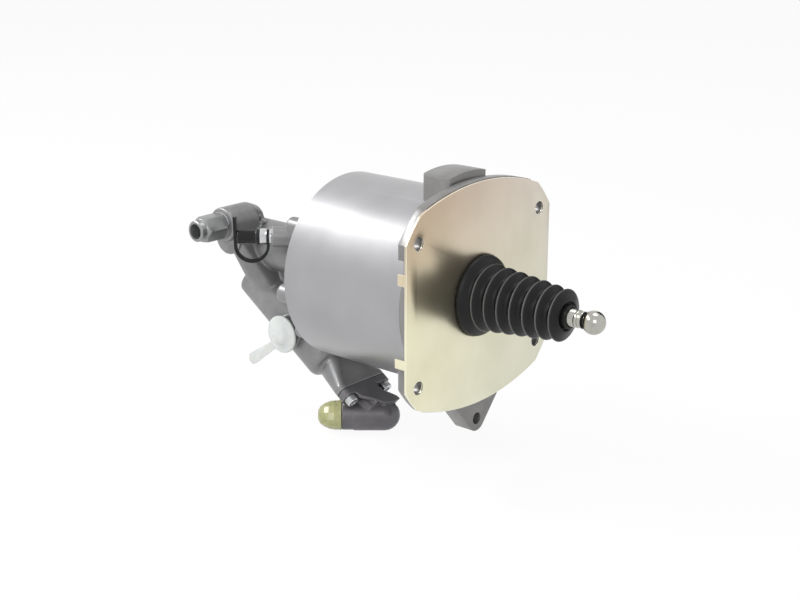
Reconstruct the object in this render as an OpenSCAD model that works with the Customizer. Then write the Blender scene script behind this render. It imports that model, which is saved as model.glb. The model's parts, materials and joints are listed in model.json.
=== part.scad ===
// Clutch servo: air-assisted hydraulic actuator with a pushrod.
// Millimetres. +X along the pushrod, outwards. +Z up.
// The origin is the centre of the four-bolt mounting face, the front of the cover plate.

/* [Cylinder] */
// Outer radius of the air cylinder
cyl_r = 62; // [58:0.5:65]
// Wall of the air cylinder
cyl_wall = 6; // [4:0.5:8]
// Mounting face to the rear face of the cylinder
cyl_len = 112; // [104:1:130]
// Thickness of the cylinder's rear wall
rear_wall_t = 12; // [9:0.5:15]

/* [Flange and cover plate] */
// Thickness of the cover plate
plate_t = 1.5; // [1:0.25:3]
// Cover plate across its two straight sides
plate_w = 143; // [139:1:150]
// Cover plate over its top and bottom arcs
plate_h = 144; // [140:1:152]
// How far the arcs of plate and flange sit above the cylinder's axis
plate_lift = 0.8; // [0:0.2:2]
// Radius of the top and bottom arcs
plate_arc_r = 165; // [140:5:220]
// Radius of the circle that trims the four corners
plate_corner_r = 85; // [84:0.5:90]
// Thickness of the cast flange
flange_t = 6.5; // [5:0.5:9]
// How far the casting stands above the plate's arcs
flange_rise = 0.5; // [0:0.5:5]
// Bolt holes, centre to centre sideways
bolt_dy = 120; // [116:1:124]
// Bolt holes, centre to centre upwards
bolt_dz = 90; // [84:1:94]
// Bolt hole diameter
bolt_hole_d = 8.5; // [6.6:0.1:9]
// Radius of the opening in the cover plate
boot_opening_r = 19; // [16:0.5:20]
// Length of the bent tabs at the plate's sides
tab_len = 7.5; // [5:0.5:12]

/* [Boss and lug] */
// Width of the top boss
boss_w = 39; // [30:1:46]
// Length of the top boss along the cylinder
boss_len = 22; // [16:1:30]
// Top of the boss above the axis
boss_top = 77.5; // [72:0.5:80]
// Axis of the lug hole below the cylinder's axis
lug_drop = 83; // [80:0.5:88]
// Diameter of the lug hole
lug_hole_d = 8; // [6:0.5:9]
// Thickness of the lug
lug_t = 13; // [6:0.2:16]

/* [Bellows] */
// Number of convolutions
rim_count = 7; // [5:1:9]
// Distance between two rims
rim_pitch = 9; // [7:0.25:10]
// Radius of the first rim
rim_r_first = 21.5; // [20:0.5:25]
// Radius of the last rim
rim_r_last = 16; // [14.5:0.5:19]
// Depth of a convolution
rim_depth = 4.6; // [3:0.1:5]
// Radius of the base cuff
cuff_r = 26; // [25:0.5:30]
// Rubber wall
boot_wall = 1.6; // [1:0.1:2]

/* [Pushrod] */
// Rod diameter
rod_d = 11; // [9:0.5:12]
// Ball diameter
ball_d = 14.6; // [13.5:0.1:17]
// Free length from the bellows' end to the centre of the ball
rod_free = 16.5; // [15:0.5:28]

/* [Piston] */
// Length of the piston's rim
piston_len = 18; // [17:0.5:22]
// Diameter of the hydraulic plunger
plunger_d = 22; // [18:0.5:23]

/* [Rear casting] */
// Cylinder's rear face to the axis of the inlet barrel
neck_len = 88; // [84:1:96]
// Radius of the hydraulic neck
neck_r = 17; // [15.5:0.5:19]
// Radius of the rear flange
rear_flange_r = 52; // [46:0.5:53]
// Thickness of the rear flange
rear_flange_t = 6; // [4:0.5:8]
// Length of the inlet barrel
barrel_len = 34; // [28:0.5:40]
// Radius of the inlet barrel's ends
barrel_r = 12; // [11:0.25:13]
// Height of the hydraulic port above the axis
port_z = 18; // [17:0.5:20]
// Across flats of the inlet fitting
fitting_af = 16.5; // [15:0.5:19]
// Length of the inlet fitting outside the barrel
fitting_len = 24; // [20:0.5:30]
// Radius of the open bore of the inlet fitting
fitting_bore_r = 5.3; // [4.5:0.1:5.6]

/* [Valve] */
// Tilt of the valve barrel below the horizontal
valve_tilt = 35; // [32:0.5:38]
// Radius of the upper valve barrel
valve_r = 16; // [15:0.5:17]
// Radius of the lower valve barrel
valve_low_r = 11; // [10.5:0.5:12.5]
// Length of the valve barrel
valve_len = 115; // [113:1:119]
// From the barrel's lower end up to the step in its radius
valve_step = 28; // [26:1:30]
// Gap between the valve barrel and the cylinder's rear corner
valve_gap = 4; // [3:0.5:6]
// Travel of the reaction piston
spool_travel = 3; // [2:0.1:3.2]

/* [Ports and plugs] */
// Turn of the air port and the bleed screw towards the left side
port_turn = 41; // [35:1:45]
// Radius of the air inlet elbow
elbow_r = 10.7; // [10:0.1:12]
// Half length of the air inlet elbow
elbow_half = 20; // [18:0.5:22]
// Radius of the exhaust plug's disc
plug_disc_r = 13.3; // [12:0.1:15]
// Length of the bleed screw's cap
cap_len = 15.5; // [14:0.5:18]

/* [Fasteners] */
// Screw circle of the rear casting
rear_screw_r = 53; // [50:0.5:54]
// Thread diameter of the rear screws
rear_screw_d = 5; // [4:1:6]
// Thread diameter of the air inlet screws
inlet_screw_d = 5; // [4:1:5]
// Half distance between the air inlet screws
inlet_screw_y = 17; // [16:0.5:20]

/* [Hidden] */
$fn = 64;

// Clearances, all radial or face to face
run = 0.05;      // running fit of a shaft in its bore
slip = 0.1;      // a part pushed in by hand
ease = 0.3;      // soft or free part beside a moving one
bolt_ease = 0.3; // screw in its clearance hole
bite = 1;        // how far a cutting tool runs past a face

// Cylinder and flange
bore_r = cyl_r - cyl_wall;
x_rear = -cyl_len;
x_chamber = x_rear + rear_wall_t;
x_flange = -plate_t - flange_t;
flange_inset = 2;
relief_top = 36;
relief_bottom = -32;
relief_r = cyl_r + 2.5;
bolt_ear_r = bolt_hole_d / 2 + 3;
lug_tip_r = 8.4;
lug_half_w = 20;
boss_round = 4;
boss_gap = 3;
spigot_r = 22;
spigot_len = rear_wall_t - 2;

// Cover plate
tabs = [[21, 28, 0.7], [-31, -25, 1]]; // lower edge, upper edge, share of the full length
boot_collar_t = 1.5;
boot_collar_len = 3.2;
boot_seat_t = 0.4;
boot_seat_r = cuff_r + ease;
collar_r = boot_opening_r + boot_collar_t;

// Bellows
rim_x_first = 8.5;
rim_flat = 0.4;
x_last_rim = rim_x_first + (rim_count - 1) * rim_pitch;
boot_neck_r = rod_d / 2 + run;
boot_neck_len = 5;
boot_rib_wall = 1.3 * boot_wall;
boot_root_r = rim_r_first - 1.6;
boot_collar_wall = 2.4;

// Piston and plunger at rest
piston_rest_gap = 2;
x_piston = x_chamber + piston_rest_gap;
piston_r = bore_r - ease;
web_t = 7;
rim_wall = 8;
hub_r = 15;
hub_len = piston_len + 3;
plunger_r = plunger_d / 2;
spigot_pin_r = plunger_r - 2;
spigot_pin_len = hub_len + 5;
clip_t = 1.2;
clip_x = hub_len + 0.1;
socket_depth = 13;
socket_r = rod_d / 2 + 1;
seal_groove = [3, 8];
guide_edge = 2;
guide_w = 5;
guide_groove = [piston_len - guide_edge - guide_w, piston_len - guide_edge];
seal_groove_depth = 4.8;
guide_groove_depth = 2.3;

// Pushrod
ball_x = x_last_rim + boot_neck_len + rod_free;
ring_back = 7.8;
ring_wire_r = 0.9;
rod_neck_r = rod_d / 2 - 1;

// Rear casting
x_barrel = x_rear - neck_len;
neck_bore_r = plunger_r + run;
neck_bore_end = x_barrel + 7;
plunger_back = x_piston - neck_bore_end - 5;
pack_r = neck_bore_r + 5;
bush_len = 6;
seal_len = 4.5;
wiper_len = 2.5;
pack_len = bush_len + seal_len + wiper_len + 3;
x_pack = x_rear + spigot_len;
ear_h = 11;
ear_r = 6.4;
head_sink = 4;
head_ease = 0.5;
ear_seat = ear_h - head_sink;
screw_depth = rear_wall_t - 4;
ear_angles = [-12, 41, 143, 192, 228, 312];
barrel_low_z = port_z - 10;
barrel_setback = 5;
port_bore_r = 7;
port_bore_len = 14;
neck_end_round = 7;
web_r = 7;
washer_t = 1.5;
fitting_bore_len = 14;
fitting_nose_r = fitting_bore_r + 2;
fitting_hex_len = 0.76 * fitting_len;
drilling_r = 2;
air_drilling_r = 3;

// Valve frame: local +Z runs down the barrel, local X is across it, away from the cylinder
valve_drop = cyl_r - (neck_len * sin(valve_tilt) - valve_r - valve_gap) / cos(valve_tilt);
reaction_r = 6;
chamber_r = 9.5;
supply_r = 8;
seat_t = 4;
guide_t = 5;
poppet_room = 20; // between the seat and the guide, for the poppet and its spring
supply_len = 15.5;
s_step = valve_len - valve_step;
s_guide = valve_len - guide_t;
s_poppet = s_guide - poppet_room;
s_seat = s_poppet - seat_t;
s_chamber_end = s_seat - supply_len;
head_len = 6;
head_end = s_chamber_end - spool_travel - 0.5;
control_head = [head_end - head_len, head_end];
spool_coil_r = 6;
spool_wire_r = 0.6;
poppet_coil_r = 4.6;
poppet_wire_r = 0.5;
stem_r = 3.6;
stem_bore_r = 2;
seat_bore_r = stem_r + 1;
tube_neck_len = 8;
s_exhaust = control_head[0] - tube_neck_len;
exhaust_boss_r = 11;
exhaust_boss_y = valve_r + 4;
exhaust_bore_r = 7;
exhaust_floor = 6;
exhaust_bore_depth = exhaust_boss_y - exhaust_floor;
stub_start = s_exhaust - 3;
reaction_room = 6;
s_reaction = [reaction_room, stub_start - reaction_room];
reaction_start = s_reaction[0] + 2;
reaction_groove = [10, 13];
poppet_t = 4;
poppet_r = 6.4;
poppet_stem_r = 2.2;
rubber_t = 1.2;
poppet_share = 0.5; // the poppet's travel as a part of the spool's
shut_gap = 0.3;
valve_lead = spool_travel * (1 - poppet_share) + shut_gap;

// Air inlet elbow
gasket_t = 0.5;
inlet_flange_t = 5;
inlet_ear_r = 5.5;
inlet_ear_t = 4;
inlet_face_r = valve_low_r + 0.5;
inlet_screw_w = 7;
inlet_thread_len = 8;
s_flange = valve_len + gasket_t;
s_elbow = valve_len + 18.5;
w_elbow = -4;
inlet_way_r = 5;
wing_t = 3;
wing_w = inlet_screw_w + inlet_ear_r;
wing_end = s_elbow + 4.5;
wing_tip_y = 15.5;
air_port_r = 7.25;
air_port_depth = 16;
heading = 180 + port_turn;

// Bleed screw
bleed_start = [x_rear - 28, -0.47 * neck_r, 0.88 * neck_r];
bleed_boss_r = 7;
bleed_boss_len = 26;
bleed_bore_r = 4;
bleed_bore_len = 14;
screw_flange_t = 1.6;
screw_neck_r = 3.6;
hex_af = 10;
hex_start = 3.4;
hex_len = 4.6;
nipple_r = 3.4;
nipple_len = 12;
cap_start = hex_start + hex_len + ease;
cap_r = 5.4;
strap_w = 4;
strap_t = 1.8;
strap_drop = 6;
strap_ring_t = 1.4;
strap_start = screw_flange_t + 0.2;
strap_r = (cap_start + cap_len + 0.2 - strap_start) / 2;
strap_tab = strap_r + 3;

// Exhaust plug
pull_turn = -20;
pull_shift = 2.9;
pull_len = 29;
pull_w = 5.8;
pull_t = 1.4;
plug_shank_len = 8;

// Inlet plug
inlet_plug_len = 16;
inlet_shank_len = 10;
inlet_plug_r = elbow_r - 0.3;

// Places and shapes used more than once

// Turns a shape drawn along +Z so that it runs along +X from x0
module on_x(x0 = 0) { translate([x0, 0, 0]) rotate([0, 90, 0]) children(); }

// Extrudes a profile, drawn in Y and Z, from x0 towards +X
module slab_x(x0, len) {
    translate([x0, 0, 0]) rotate([90, 0, 90]) linear_extrude(len) children();
}

// The valve barrel's own frame
module on_valve(s = 0) {
    translate([x_barrel, 0, -valve_drop]) rotate([0, 90 + valve_tilt, 0]) translate([0, 0, s]) children();
}

// The frame of the air port: +Z out of the port
module on_elbow() {
    on_valve(s_elbow) translate([-w_elbow, 0, 0]) rotate([0, -90 - valve_tilt, 0])
        rotate([0, 90, heading]) children();
}

// The frame of the bleed screw: +Z out of its boss
module on_bleed(t = 0) { translate(bleed_start) rotate([0, 90, heading]) translate([0, 0, t]) children(); }

// The frame of the exhaust port: +Z out of its face, towards the left side
module on_exhaust(z = 0) {
    on_valve(s_exhaust) rotate([90, 0, 0]) translate([0, 0, exhaust_boss_y + z]) children();
}

// A plain tube
module ring(r_out, r_in, h) {
    difference() {
        cylinder(r = r_out, h = h);
        translate([0, 0, -bite]) cylinder(r = r_in, h = h + 2 * bite);
    }
}

// A rubber ring of round section
module oring(r_mid, r_wire) { rotate_extrude() translate([r_mid, 0]) circle(r = r_wire, $fn = 24); }

// A socket-head screw, head up from z = 0, shank down
module socket_screw(d, shank) {
    head_r = 0.85 * d;
    difference() {
        union() {
            cylinder(r = head_r, h = d - 0.4);
            translate([0, 0, d - 0.4]) cylinder(r1 = head_r, r2 = head_r - 0.4, h = 0.4, $fn = 48);
            translate([0, 0, -shank]) cylinder(r = d / 2 - run, h = shank + 0.5);
        }
        translate([0, 0, d / 2]) cylinder(r = 0.47 * d, h = d, $fn = 6);
    }
}

// A flat retaining ring with a gap and two eyes, lying on z = 0
module circlip(r_out, r_in, t) {
    gap = r_in * 0.35;
    difference() {
        cylinder(r = r_out, h = t);
        translate([0, 0, -bite]) cylinder(r = r_in, h = t + 2 * bite);
        translate([0, -gap / 2, -bite]) cube([r_out + bite, gap, t + 2 * bite]);
    }
}

// Joins the ring of points k to the ring k + 1, over the whole sweep
function side_faces(rings, sides) = [for (k = [0 : rings - 2], j = [0 : sides - 1])
    [k * sides + j, k * sides + (j + 1) % sides, (k + 1) * sides + (j + 1) % sides, (k + 1) * sides + j]];

// A compression spring along +Z that may taper, with closely wound end coils
module coil_spring(r_start, r_end, length, turns, wire_r, per_turn = 20, sides = 6) {
    steps = turns * per_turn;
    end_rise = 2.1 * wire_r;
    body_rise = (length - 2 * wire_r - 2 * end_rise) / (turns - 2);
    points = [for (k = [0 : steps]) let (
            n = k / per_turn,
            a = 360 * n,
            r = r_start + (r_end - r_start) * n / turns,
            z = wire_r + end_rise * (min(n, 1) + max(n - turns + 1, 0))
                + body_rise * max(min(n, turns - 1) - 1, 0))
        for (j = [0 : sides - 1]) let (b = 360 * j / sides)
            [(r + wire_r * cos(b)) * cos(a), (r + wire_r * cos(b)) * sin(a), z + wire_r * sin(b)]];
    polyhedron(points, concat(side_faces(steps + 1, sides),
        [[for (j = [sides - 1 : -1 : 0]) j], [for (j = [0 : sides - 1]) steps * sides + j]]), convexity = 8);
}

// Cover plate and flange

// The plate's outline, made smaller or larger by inset, in Y and Z
module plate_outline(inset = 0, rise = 0) {
    arc_shift = plate_arc_r - plate_h / 2 - rise;
    intersection() {
        circle(r = plate_corner_r - inset, $fn = 128);
        square([plate_w - 2 * inset, 2 * plate_h], center = true);
        translate([0, plate_lift - arc_shift]) circle(r = plate_arc_r, $fn = 180);
        translate([0, plate_lift + arc_shift]) circle(r = plate_arc_r, $fn = 180);
    }
    bolt_places() circle(r = bolt_ear_r, $fn = 48);
}

module bolt_places() {
    for (y = [-1, 1], z = [-1, 1]) translate([y * bolt_dy / 2, z * bolt_dz / 2]) children();
}

module side_tabs() {
    for (side = [-1, 1], tab = tabs)
        translate([-plate_t - tab[2] * tab_len, side * (plate_w / 2 - plate_t / 2) - plate_t / 2, tab[0]])
            cube([tab[2] * tab_len + plate_t / 2, plate_t, tab[1] - tab[0]]);
}

// The plate with its shallow seat for the cuff and its collar inside the bellows
module cover_plate() {
    color("#d8d4a4") {
        difference() {
            slab_x(-plate_t, plate_t) difference() {
                plate_outline();
                circle(r = boot_opening_r);
                bolt_places() circle(r = bolt_hole_d / 2, $fn = 40);
            }
            on_x(-boot_seat_t) cylinder(r = boot_seat_r, h = boot_seat_t + bite, $fn = 96);
        }
        side_tabs();
        on_x(-plate_t + 0.2) ring(collar_r, boot_opening_r, boot_collar_len + plate_t - 0.2);
    }
}

// Cast flange: ears at the bolts, cut back between them down to the cylinder
module flange_2d() {
    difference() {
        plate_outline(flange_inset, flange_rise);
        for (side = [-1, 1]) translate([side * (relief_r + plate_w / 4), (relief_top + relief_bottom) / 2])
            square([plate_w / 2, relief_top - relief_bottom], center = true);
        bolt_places() circle(r = bolt_hole_d / 2, $fn = 40);
    }
}

// Boss on top: a domed block with round corners, and a low foot that joins it to the flange
module top_boss() {
    dome_r = boss_top + 3;
    foot_z = cyl_r - 8;
    x_front = x_flange - boss_gap;
    intersection() {
        translate([x_front - boss_len, 0, foot_z]) linear_extrude(boss_top) hull()
            for (x = [boss_round, boss_len - boss_round], y = [-1, 1])
                translate([x, y * (boss_w / 2 - boss_round)]) circle(r = boss_round, $fn = 32);
        on_x(-cyl_len) translate([dome_r - boss_top, 0, 0]) cylinder(r = dome_r, h = cyl_len, $fn = 120);
    }
    translate([0, boss_w / 2 + 2, 0]) rotate([90, 0, 0]) linear_extrude(boss_w + 4)
        polygon([[x_front - bite, foot_z], [x_front - bite, plate_h / 2 - 1.5],
            [x_flange + bite, plate_h / 2 - 2.5], [x_flange + bite, foot_z]]);
}

// Lug below: a rounded triangle with its bore along the cylinder
module bottom_lug() {
    slab_x(-plate_t - lug_t, lug_t) difference() {
        hull() {
            translate([0, -lug_drop]) circle(r = lug_tip_r, $fn = 48);
            for (y = [-1, 1]) translate([y * lug_half_w, -cyl_r - 8]) circle(r = 1.5, $fn = 16);
            translate([-lug_half_w, -cyl_r + 4]) square([2 * lug_half_w, 1]);
        }
        translate([0, -lug_drop]) circle(r = lug_hole_d / 2, $fn = 48);
    }
}

module cylinder_housing() {
    air_in = air_passage_points();
    color("#b9babc") difference() {
        union() {
            on_x(x_rear) rotate_extrude($fn = 128) polygon([[0, 0], [cyl_r - 0.8, 0], [cyl_r, 0.8],
                [cyl_r, cyl_len + x_flange - 6], [cyl_r + 3, cyl_len + x_flange],
                [cyl_r + 3, cyl_len + x_flange + 2], [0, cyl_len + x_flange + 2]]);
            slab_x(x_flange, flange_t) flange_2d();
            top_boss();
            bottom_lug();
        }
        on_x(x_chamber) cylinder(r = bore_r, h = cyl_len, $fn = 128);
        on_x(x_rear - bite) cylinder(r = spigot_r + run, h = rear_wall_t + 2 * bite);
        for (a = ear_angles) rotate([a, 0, 0]) translate([0, rear_screw_r, 0])
            on_x(x_rear - bite) cylinder(r = rear_screw_d / 2, h = screw_depth + 2 * bite, $fn = 32);
        between(air_in[0], air_in[1], air_drilling_r);
    }
}

// A round bar between two points of the plane Y = 0
module between(a, b, r) {
    d = b - a;
    translate(a) rotate([0, atan2(d[0], d[2]), 0]) cylinder(r = r, h = norm(d), $fn = 40);
}

// The drilled air passage: from the valve's output chamber to the cylinder's chamber
function valve_point(s) = [x_barrel + s * cos(valve_tilt), 0, -valve_drop - s * sin(valve_tilt)];
function air_passage_points() = let (a = valve_point((s_chamber_end + s_seat) / 2),
    b = [x_chamber + bite, 0, 12 - bore_r]) [a, b];

// Rubber boot: convolutions with thin rims on a cone

function rim_x(i) = rim_x_first + i * rim_pitch;
function rim_r(i) = rim_r_first + (rim_r_last - rim_r_first) * i / (rim_count - 1);

// Outer line of the boot, from the plate to the neck
function boot_line() = concat(
    [[-boot_seat_t, cuff_r], [3, cuff_r - 0.4], [rim_x_first - 2.2, boot_root_r]],
    [for (i = [0 : rim_count - 1]) for (p = [
        [rim_x(i) - rim_flat, rim_r(i)],
        [rim_x(i) + rim_flat, rim_r(i)],
        i < rim_count - 1 ? [rim_x(i) + rim_pitch / 2, (rim_r(i) + rim_r(i + 1)) / 2 - rim_depth]
            : [rim_x(i) + rim_flat + 1, rim_r(i) - 2]]) p],
    [[x_last_rim + 2.4, boot_neck_r + boot_collar_wall + 1],
        [x_last_rim + 3, boot_neck_r + boot_collar_wall],
        [x_last_rim + boot_neck_len, boot_neck_r + boot_collar_wall]]);

// Inner line of the boot, from the neck back to the plate, seated on the collar
function boot_back() = concat(
    [[x_last_rim + boot_neck_len, boot_neck_r], [x_last_rim - 0.6, boot_neck_r]],
    [for (i = [rim_count - 1 : -1 : 0]) for (p = [
        [rim_x(i), rim_r(i) - boot_rib_wall],
        i > 0 ? [rim_x(i) - rim_pitch / 2, (rim_r(i) + rim_r(i - 1)) / 2 - rim_depth - boot_wall]
            : [boot_collar_len + slip, boot_root_r - 1.5 * boot_wall]]) p],
    [[boot_collar_len + slip, collar_r + slip], [-boot_seat_t, collar_r + slip]]);

module bellows() {
    color("#1b1b1d") on_x(0) rotate_extrude($fn = 72)
        polygon([for (p = concat(boot_line(), boot_back())) [p[1], p[0]]]);
}

// Rear casting

module rear_ears(h) {
    for (a = ear_angles) rotate([a, 0, 0]) translate([0, rear_screw_r, 0]) on_x(x_rear - h) children();
}

// Flange, flared root and hydraulic neck in one turned shape, along +X from the neck's end
module neck_shape() {
    end = x_barrel - 4;
    n = neck_end_round;
    on_x(end) rotate_extrude($fn = 96) polygon(concat(
        [[0, 0]],
        [for (a = [0 : 15 : 90]) [neck_r - n + n * sin(a), n - n * cos(a)]],
        [[neck_r, x_rear - rear_flange_t - 22 - end], [neck_r + 3, x_rear - rear_flange_t - 10 - end],
            [neck_r + 11, x_rear - rear_flange_t - end], [rear_flange_r - 1, x_rear - rear_flange_t - end],
            [rear_flange_r, x_rear - rear_flange_t + 1 - end], [rear_flange_r, x_rear - end],
            [spigot_r, x_rear - end], [spigot_r, x_pack - end], [0, x_pack - end]]));
}

// The inlet barrel: a round boss over a lower lobe that is set back, domed on the far side
module inlet_barrel() {
    translate([x_barrel, 0, 0]) {
        hull() for (z = [barrel_low_z, port_z]) {
            translate([0, barrel_setback - barrel_len, z]) rotate([-90, 0, 0])
                cylinder(r = barrel_r, h = barrel_len - barrel_setback - 10, $fn = 36);
            translate([0, -8, z]) sphere(r = barrel_r - 1.5, $fn = 28);
        }
        translate([0, -barrel_len, port_z]) rotate([-90, 0, 0]) rotate_extrude($fn = 64)
            polygon([[0, 0], [barrel_r - 0.8, 0], [barrel_r, 0.8], [barrel_r, 2 * barrel_setback],
                [0, 2 * barrel_setback]]);
    }
}

// Web between the inlet barrel and the head of the valve barrel
module head_web() {
    hull() {
        translate([x_barrel + 5, barrel_setback - barrel_len + 3, barrel_low_z - 3]) rotate([-90, 0, 0])
            cylinder(r = web_r, h = barrel_len - barrel_setback - 5, $fn = 32);
        on_valve(20) sphere(r = valve_r - 3, $fn = 28);
    }
}

module valve_barrel_shape() {
    on_valve(0) rotate_extrude($fn = 72) polygon([[0, -1], [valve_r - 1.5, -1], [valve_r, 0.5],
        [valve_r, s_step - 5], [valve_r - 0.6, s_step - 2.5], [valve_r - 2, s_step - 0.8],
        [valve_low_r + 1, s_step + 0.2], [valve_low_r, s_step + 2], [valve_low_r, valve_len],
        [0, valve_len]]);
}

// The barrel's lower end widens evenly to the ears of the air inlet
module inlet_flare() {
    hull() {
        on_valve(s_step) cylinder(r = valve_low_r, h = 1, $fn = 40);
        on_valve(valve_len - inlet_ear_t) linear_extrude(inlet_ear_t) inlet_ears_2d(inlet_face_r);
    }
}

// The plate that stiffens the valve barrel against the neck and the rear flange
module stiffening_web() {
    top = valve_point(12);
    low = valve_point(s_step - 16);
    translate([0, 2.5, 0]) rotate([90, 0, 0]) linear_extrude(5) polygon([[top[0], top[2]], [top[0] + 4, -6],
        [x_rear - 2, -6], [x_rear - 2, -rear_flange_r + 2], [low[0], low[2]]]);
}

// Ears for the two air inlet screws, as a profile across the valve barrel
module inlet_ears_2d(body_r) {
    hull() {
        circle(r = body_r, $fn = 40);
        for (y = [-1, 1]) translate([-inlet_screw_w, y * inlet_screw_y]) circle(r = inlet_ear_r, $fn = 32);
    }
}

module inlet_screw_places(s) {
    on_valve(s) for (y = [-1, 1]) translate([-inlet_screw_w, y * inlet_screw_y, 0]) children();
}

module rear_casting_body() {
    neck_shape();
    rear_ears(ear_h) cylinder(r = ear_r, h = ear_h, $fn = 40);
    inlet_barrel();
    head_web();
    valve_barrel_shape();
    stiffening_web();
    intersection() {
        between(air_passage_points()[0], air_passage_points()[1], 6.5);
        on_x(x_barrel) cylinder(r = cyl_r, h = neck_len - 0.5);
    }
    on_valve(s_exhaust) rotate([90, 0, 0]) cylinder(r = exhaust_boss_r, h = exhaust_boss_y, $fn = 48);
    on_bleed(0) cylinder(r = bleed_boss_r, h = bleed_boss_len, $fn = 48);
    inlet_flare();
}

module rear_casting_bores() {
    on_x(neck_bore_end) cylinder(r = neck_bore_r, h = cyl_len, $fn = 64);
    on_x(x_pack - pack_len) cylinder(r = pack_r, h = pack_len + bite, $fn = 64);
    on_x(x_pack - clip_t - 1.4) cylinder(r = pack_r + 1, h = clip_t + 0.2, $fn = 64);
    // inlet bore, its end and the crossing down to the neck
    translate([x_barrel, -barrel_len - bite, port_z]) rotate([-90, 0, 0]) {
        cylinder(r = port_bore_r, h = port_bore_len + bite, $fn = 40);
        cylinder(r = drilling_r + 1, h = barrel_len - 5, $fn = 32);
    }
    translate([neck_bore_end + 4, -6, 0]) cylinder(r = drilling_r, h = port_z, $fn = 24);
    translate([x_barrel - 1, -6, port_z]) rotate([0, 90, 0]) cylinder(r = drilling_r, h = 12, $fn = 24);
    // crossing from the neck down to the reaction chamber
    translate([neck_bore_end + 2, 0, -valve_drop - 4]) cylinder(r = drilling_r, h = valve_drop, $fn = 24);
    on_valve(s_reaction[0]) cylinder(r = reaction_r, h = s_chamber_end, $fn = 48);
    on_valve(s_reaction[1]) cylinder(r = chamber_r, h = s_chamber_end - s_reaction[1], $fn = 48);
    on_valve(s_chamber_end - bite) cylinder(r = supply_r, h = valve_len, $fn = 48);
    on_exhaust(-exhaust_bore_depth) cylinder(r = exhaust_bore_r, h = exhaust_bore_depth + bite, $fn = 48);
    on_bleed(bleed_boss_len - bleed_bore_len) cylinder(r = bleed_bore_r, h = bleed_bore_len + bite, $fn = 40);
    on_bleed(-6) cylinder(r = 1.5, h = bleed_boss_len, $fn = 24);
    between(air_passage_points()[0], air_passage_points()[1], air_drilling_r);
    rear_ears(ear_h + bite) cylinder(r = rear_screw_d / 2 + bolt_ease, h = ear_h + 2 * bite, $fn = 32);
    rear_ears(ear_h + bite) cylinder(r = 0.85 * rear_screw_d + head_ease, h = head_sink + bite, $fn = 40);
    inlet_screw_places(valve_len - inlet_thread_len)
        cylinder(r = inlet_screw_d / 2, h = inlet_thread_len + bite, $fn = 32);
    // groove for the ring on the spigot
    on_x(x_rear + 3) ring(spigot_r + bite, spigot_r - 2.1, 2.4);
}

module rear_housing() {
    color("#8b8c8e") difference() {
        rear_casting_body();
        rear_casting_bores();
    }
}

module rear_screws() {
    color("#c9cacc") rear_ears(ear_seat) mirror([0, 0, 1]) socket_screw(rear_screw_d, ear_seat + screw_depth);
}

module rear_oring() {
    color("#1a1a1c") on_x(x_rear + 4.2) oring(spigot_r - 1.05, 1);
}

// Packing of the hydraulic plunger, from the inside out

module plunger_bush() {
    color("#8a6f3c") on_x(x_pack - pack_len) ring(pack_r - run, plunger_r + run, bush_len);
}

module plunger_seal() {
    color("#232326") on_x(x_pack - pack_len + bush_len) difference() {
        ring(pack_r - run, plunger_r + run, seal_len);
        translate([0, 0, 1.5]) ring(pack_r - 1.6, plunger_r + 1.4, seal_len);
    }
}

module plunger_wiper() {
    color("#232326") on_x(x_pack - pack_len + bush_len + seal_len)
        ring(pack_r - run, plunger_r + run, wiper_len);
}

module seal_circlip() {
    color("#7d7f83") on_x(x_pack - clip_t - 1.3) circlip(pack_r + 0.8, pack_r - 2, clip_t);
}

// Hydraulic inlet

module inlet_fitting() {
    hex_r = fitting_af / 2 / cos(30);
    color("#8f9092") translate([x_barrel, -barrel_len, port_z]) rotate([90, 0, 0]) difference() {
        union() {
            translate([0, 0, 1 - port_bore_len])
                cylinder(r = port_bore_r - run, h = port_bore_len, $fn = 40);
            translate([0, 0, washer_t]) intersection() {
                cylinder(r = hex_r, h = fitting_hex_len, $fn = 6);
                rotate_extrude($fn = 48) polygon([[0, 0], [hex_r - 1, 0], [hex_r, 1],
                    [hex_r, fitting_hex_len - 3], [hex_r - 1.8, fitting_hex_len], [0, fitting_hex_len]]);
            }
            cylinder(r = fitting_nose_r, h = fitting_len - 0.6, $fn = 48);
            translate([0, 0, fitting_len - 0.6])
                cylinder(r1 = fitting_nose_r, r2 = fitting_nose_r - 0.6, h = 0.6, $fn = 48);
        }
        translate([0, 0, fitting_len - fitting_bore_len])
            cylinder(r = fitting_bore_r, h = fitting_len, $fn = 48);
        translate([0, 0, -port_bore_len]) cylinder(r = 2.5, h = 2 * fitting_len, $fn = 32);
    }
}

module fitting_washer() {
    color("#b9babc") translate([x_barrel, -barrel_len, port_z]) rotate([90, 0, 0])
        ring(fitting_bore_r + 4, fitting_bore_r + 2 + slip, washer_t);
}

// Springs

module return_spring() {
    wire_r = 1.6;
    color("#6f7276") on_x(x_piston + web_t + 0.1)
        coil_spring(hub_r + 2.5 * wire_r, bore_r - 5 * wire_r, -plate_t - x_piston - web_t - 0.2, 6, wire_r);
}

module spool_spring() {
    color("#7d8084") on_valve(control_head[1] + 0.1)
        coil_spring(spool_coil_r, spool_coil_r, s_seat - control_head[1] - 0.2, 5, spool_wire_r, 16, 6);
}

module poppet_spring() {
    color("#7d8084") on_valve(s_poppet + poppet_t + 0.1)
        coil_spring(poppet_coil_r, poppet_coil_r, poppet_room - poppet_t - 0.2, 4, poppet_wire_r, 16, 6);
}

// Control valve

module valve_seat() {
    color("#b8a05a") on_valve(s_seat) difference() {
        union() {
            ring(supply_r - run, seat_bore_r, seat_t - 0.8);
            ring(seat_bore_r + 0.8, seat_bore_r, seat_t);
        }
        translate([0, 0, 1]) ring(supply_r + bite, supply_r - 1.4, 1.4);
    }
}

module seat_oring() {
    color("#1a1a1c") on_valve(s_seat + 1.7) oring(supply_r - 0.72, 0.62);
}

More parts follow.
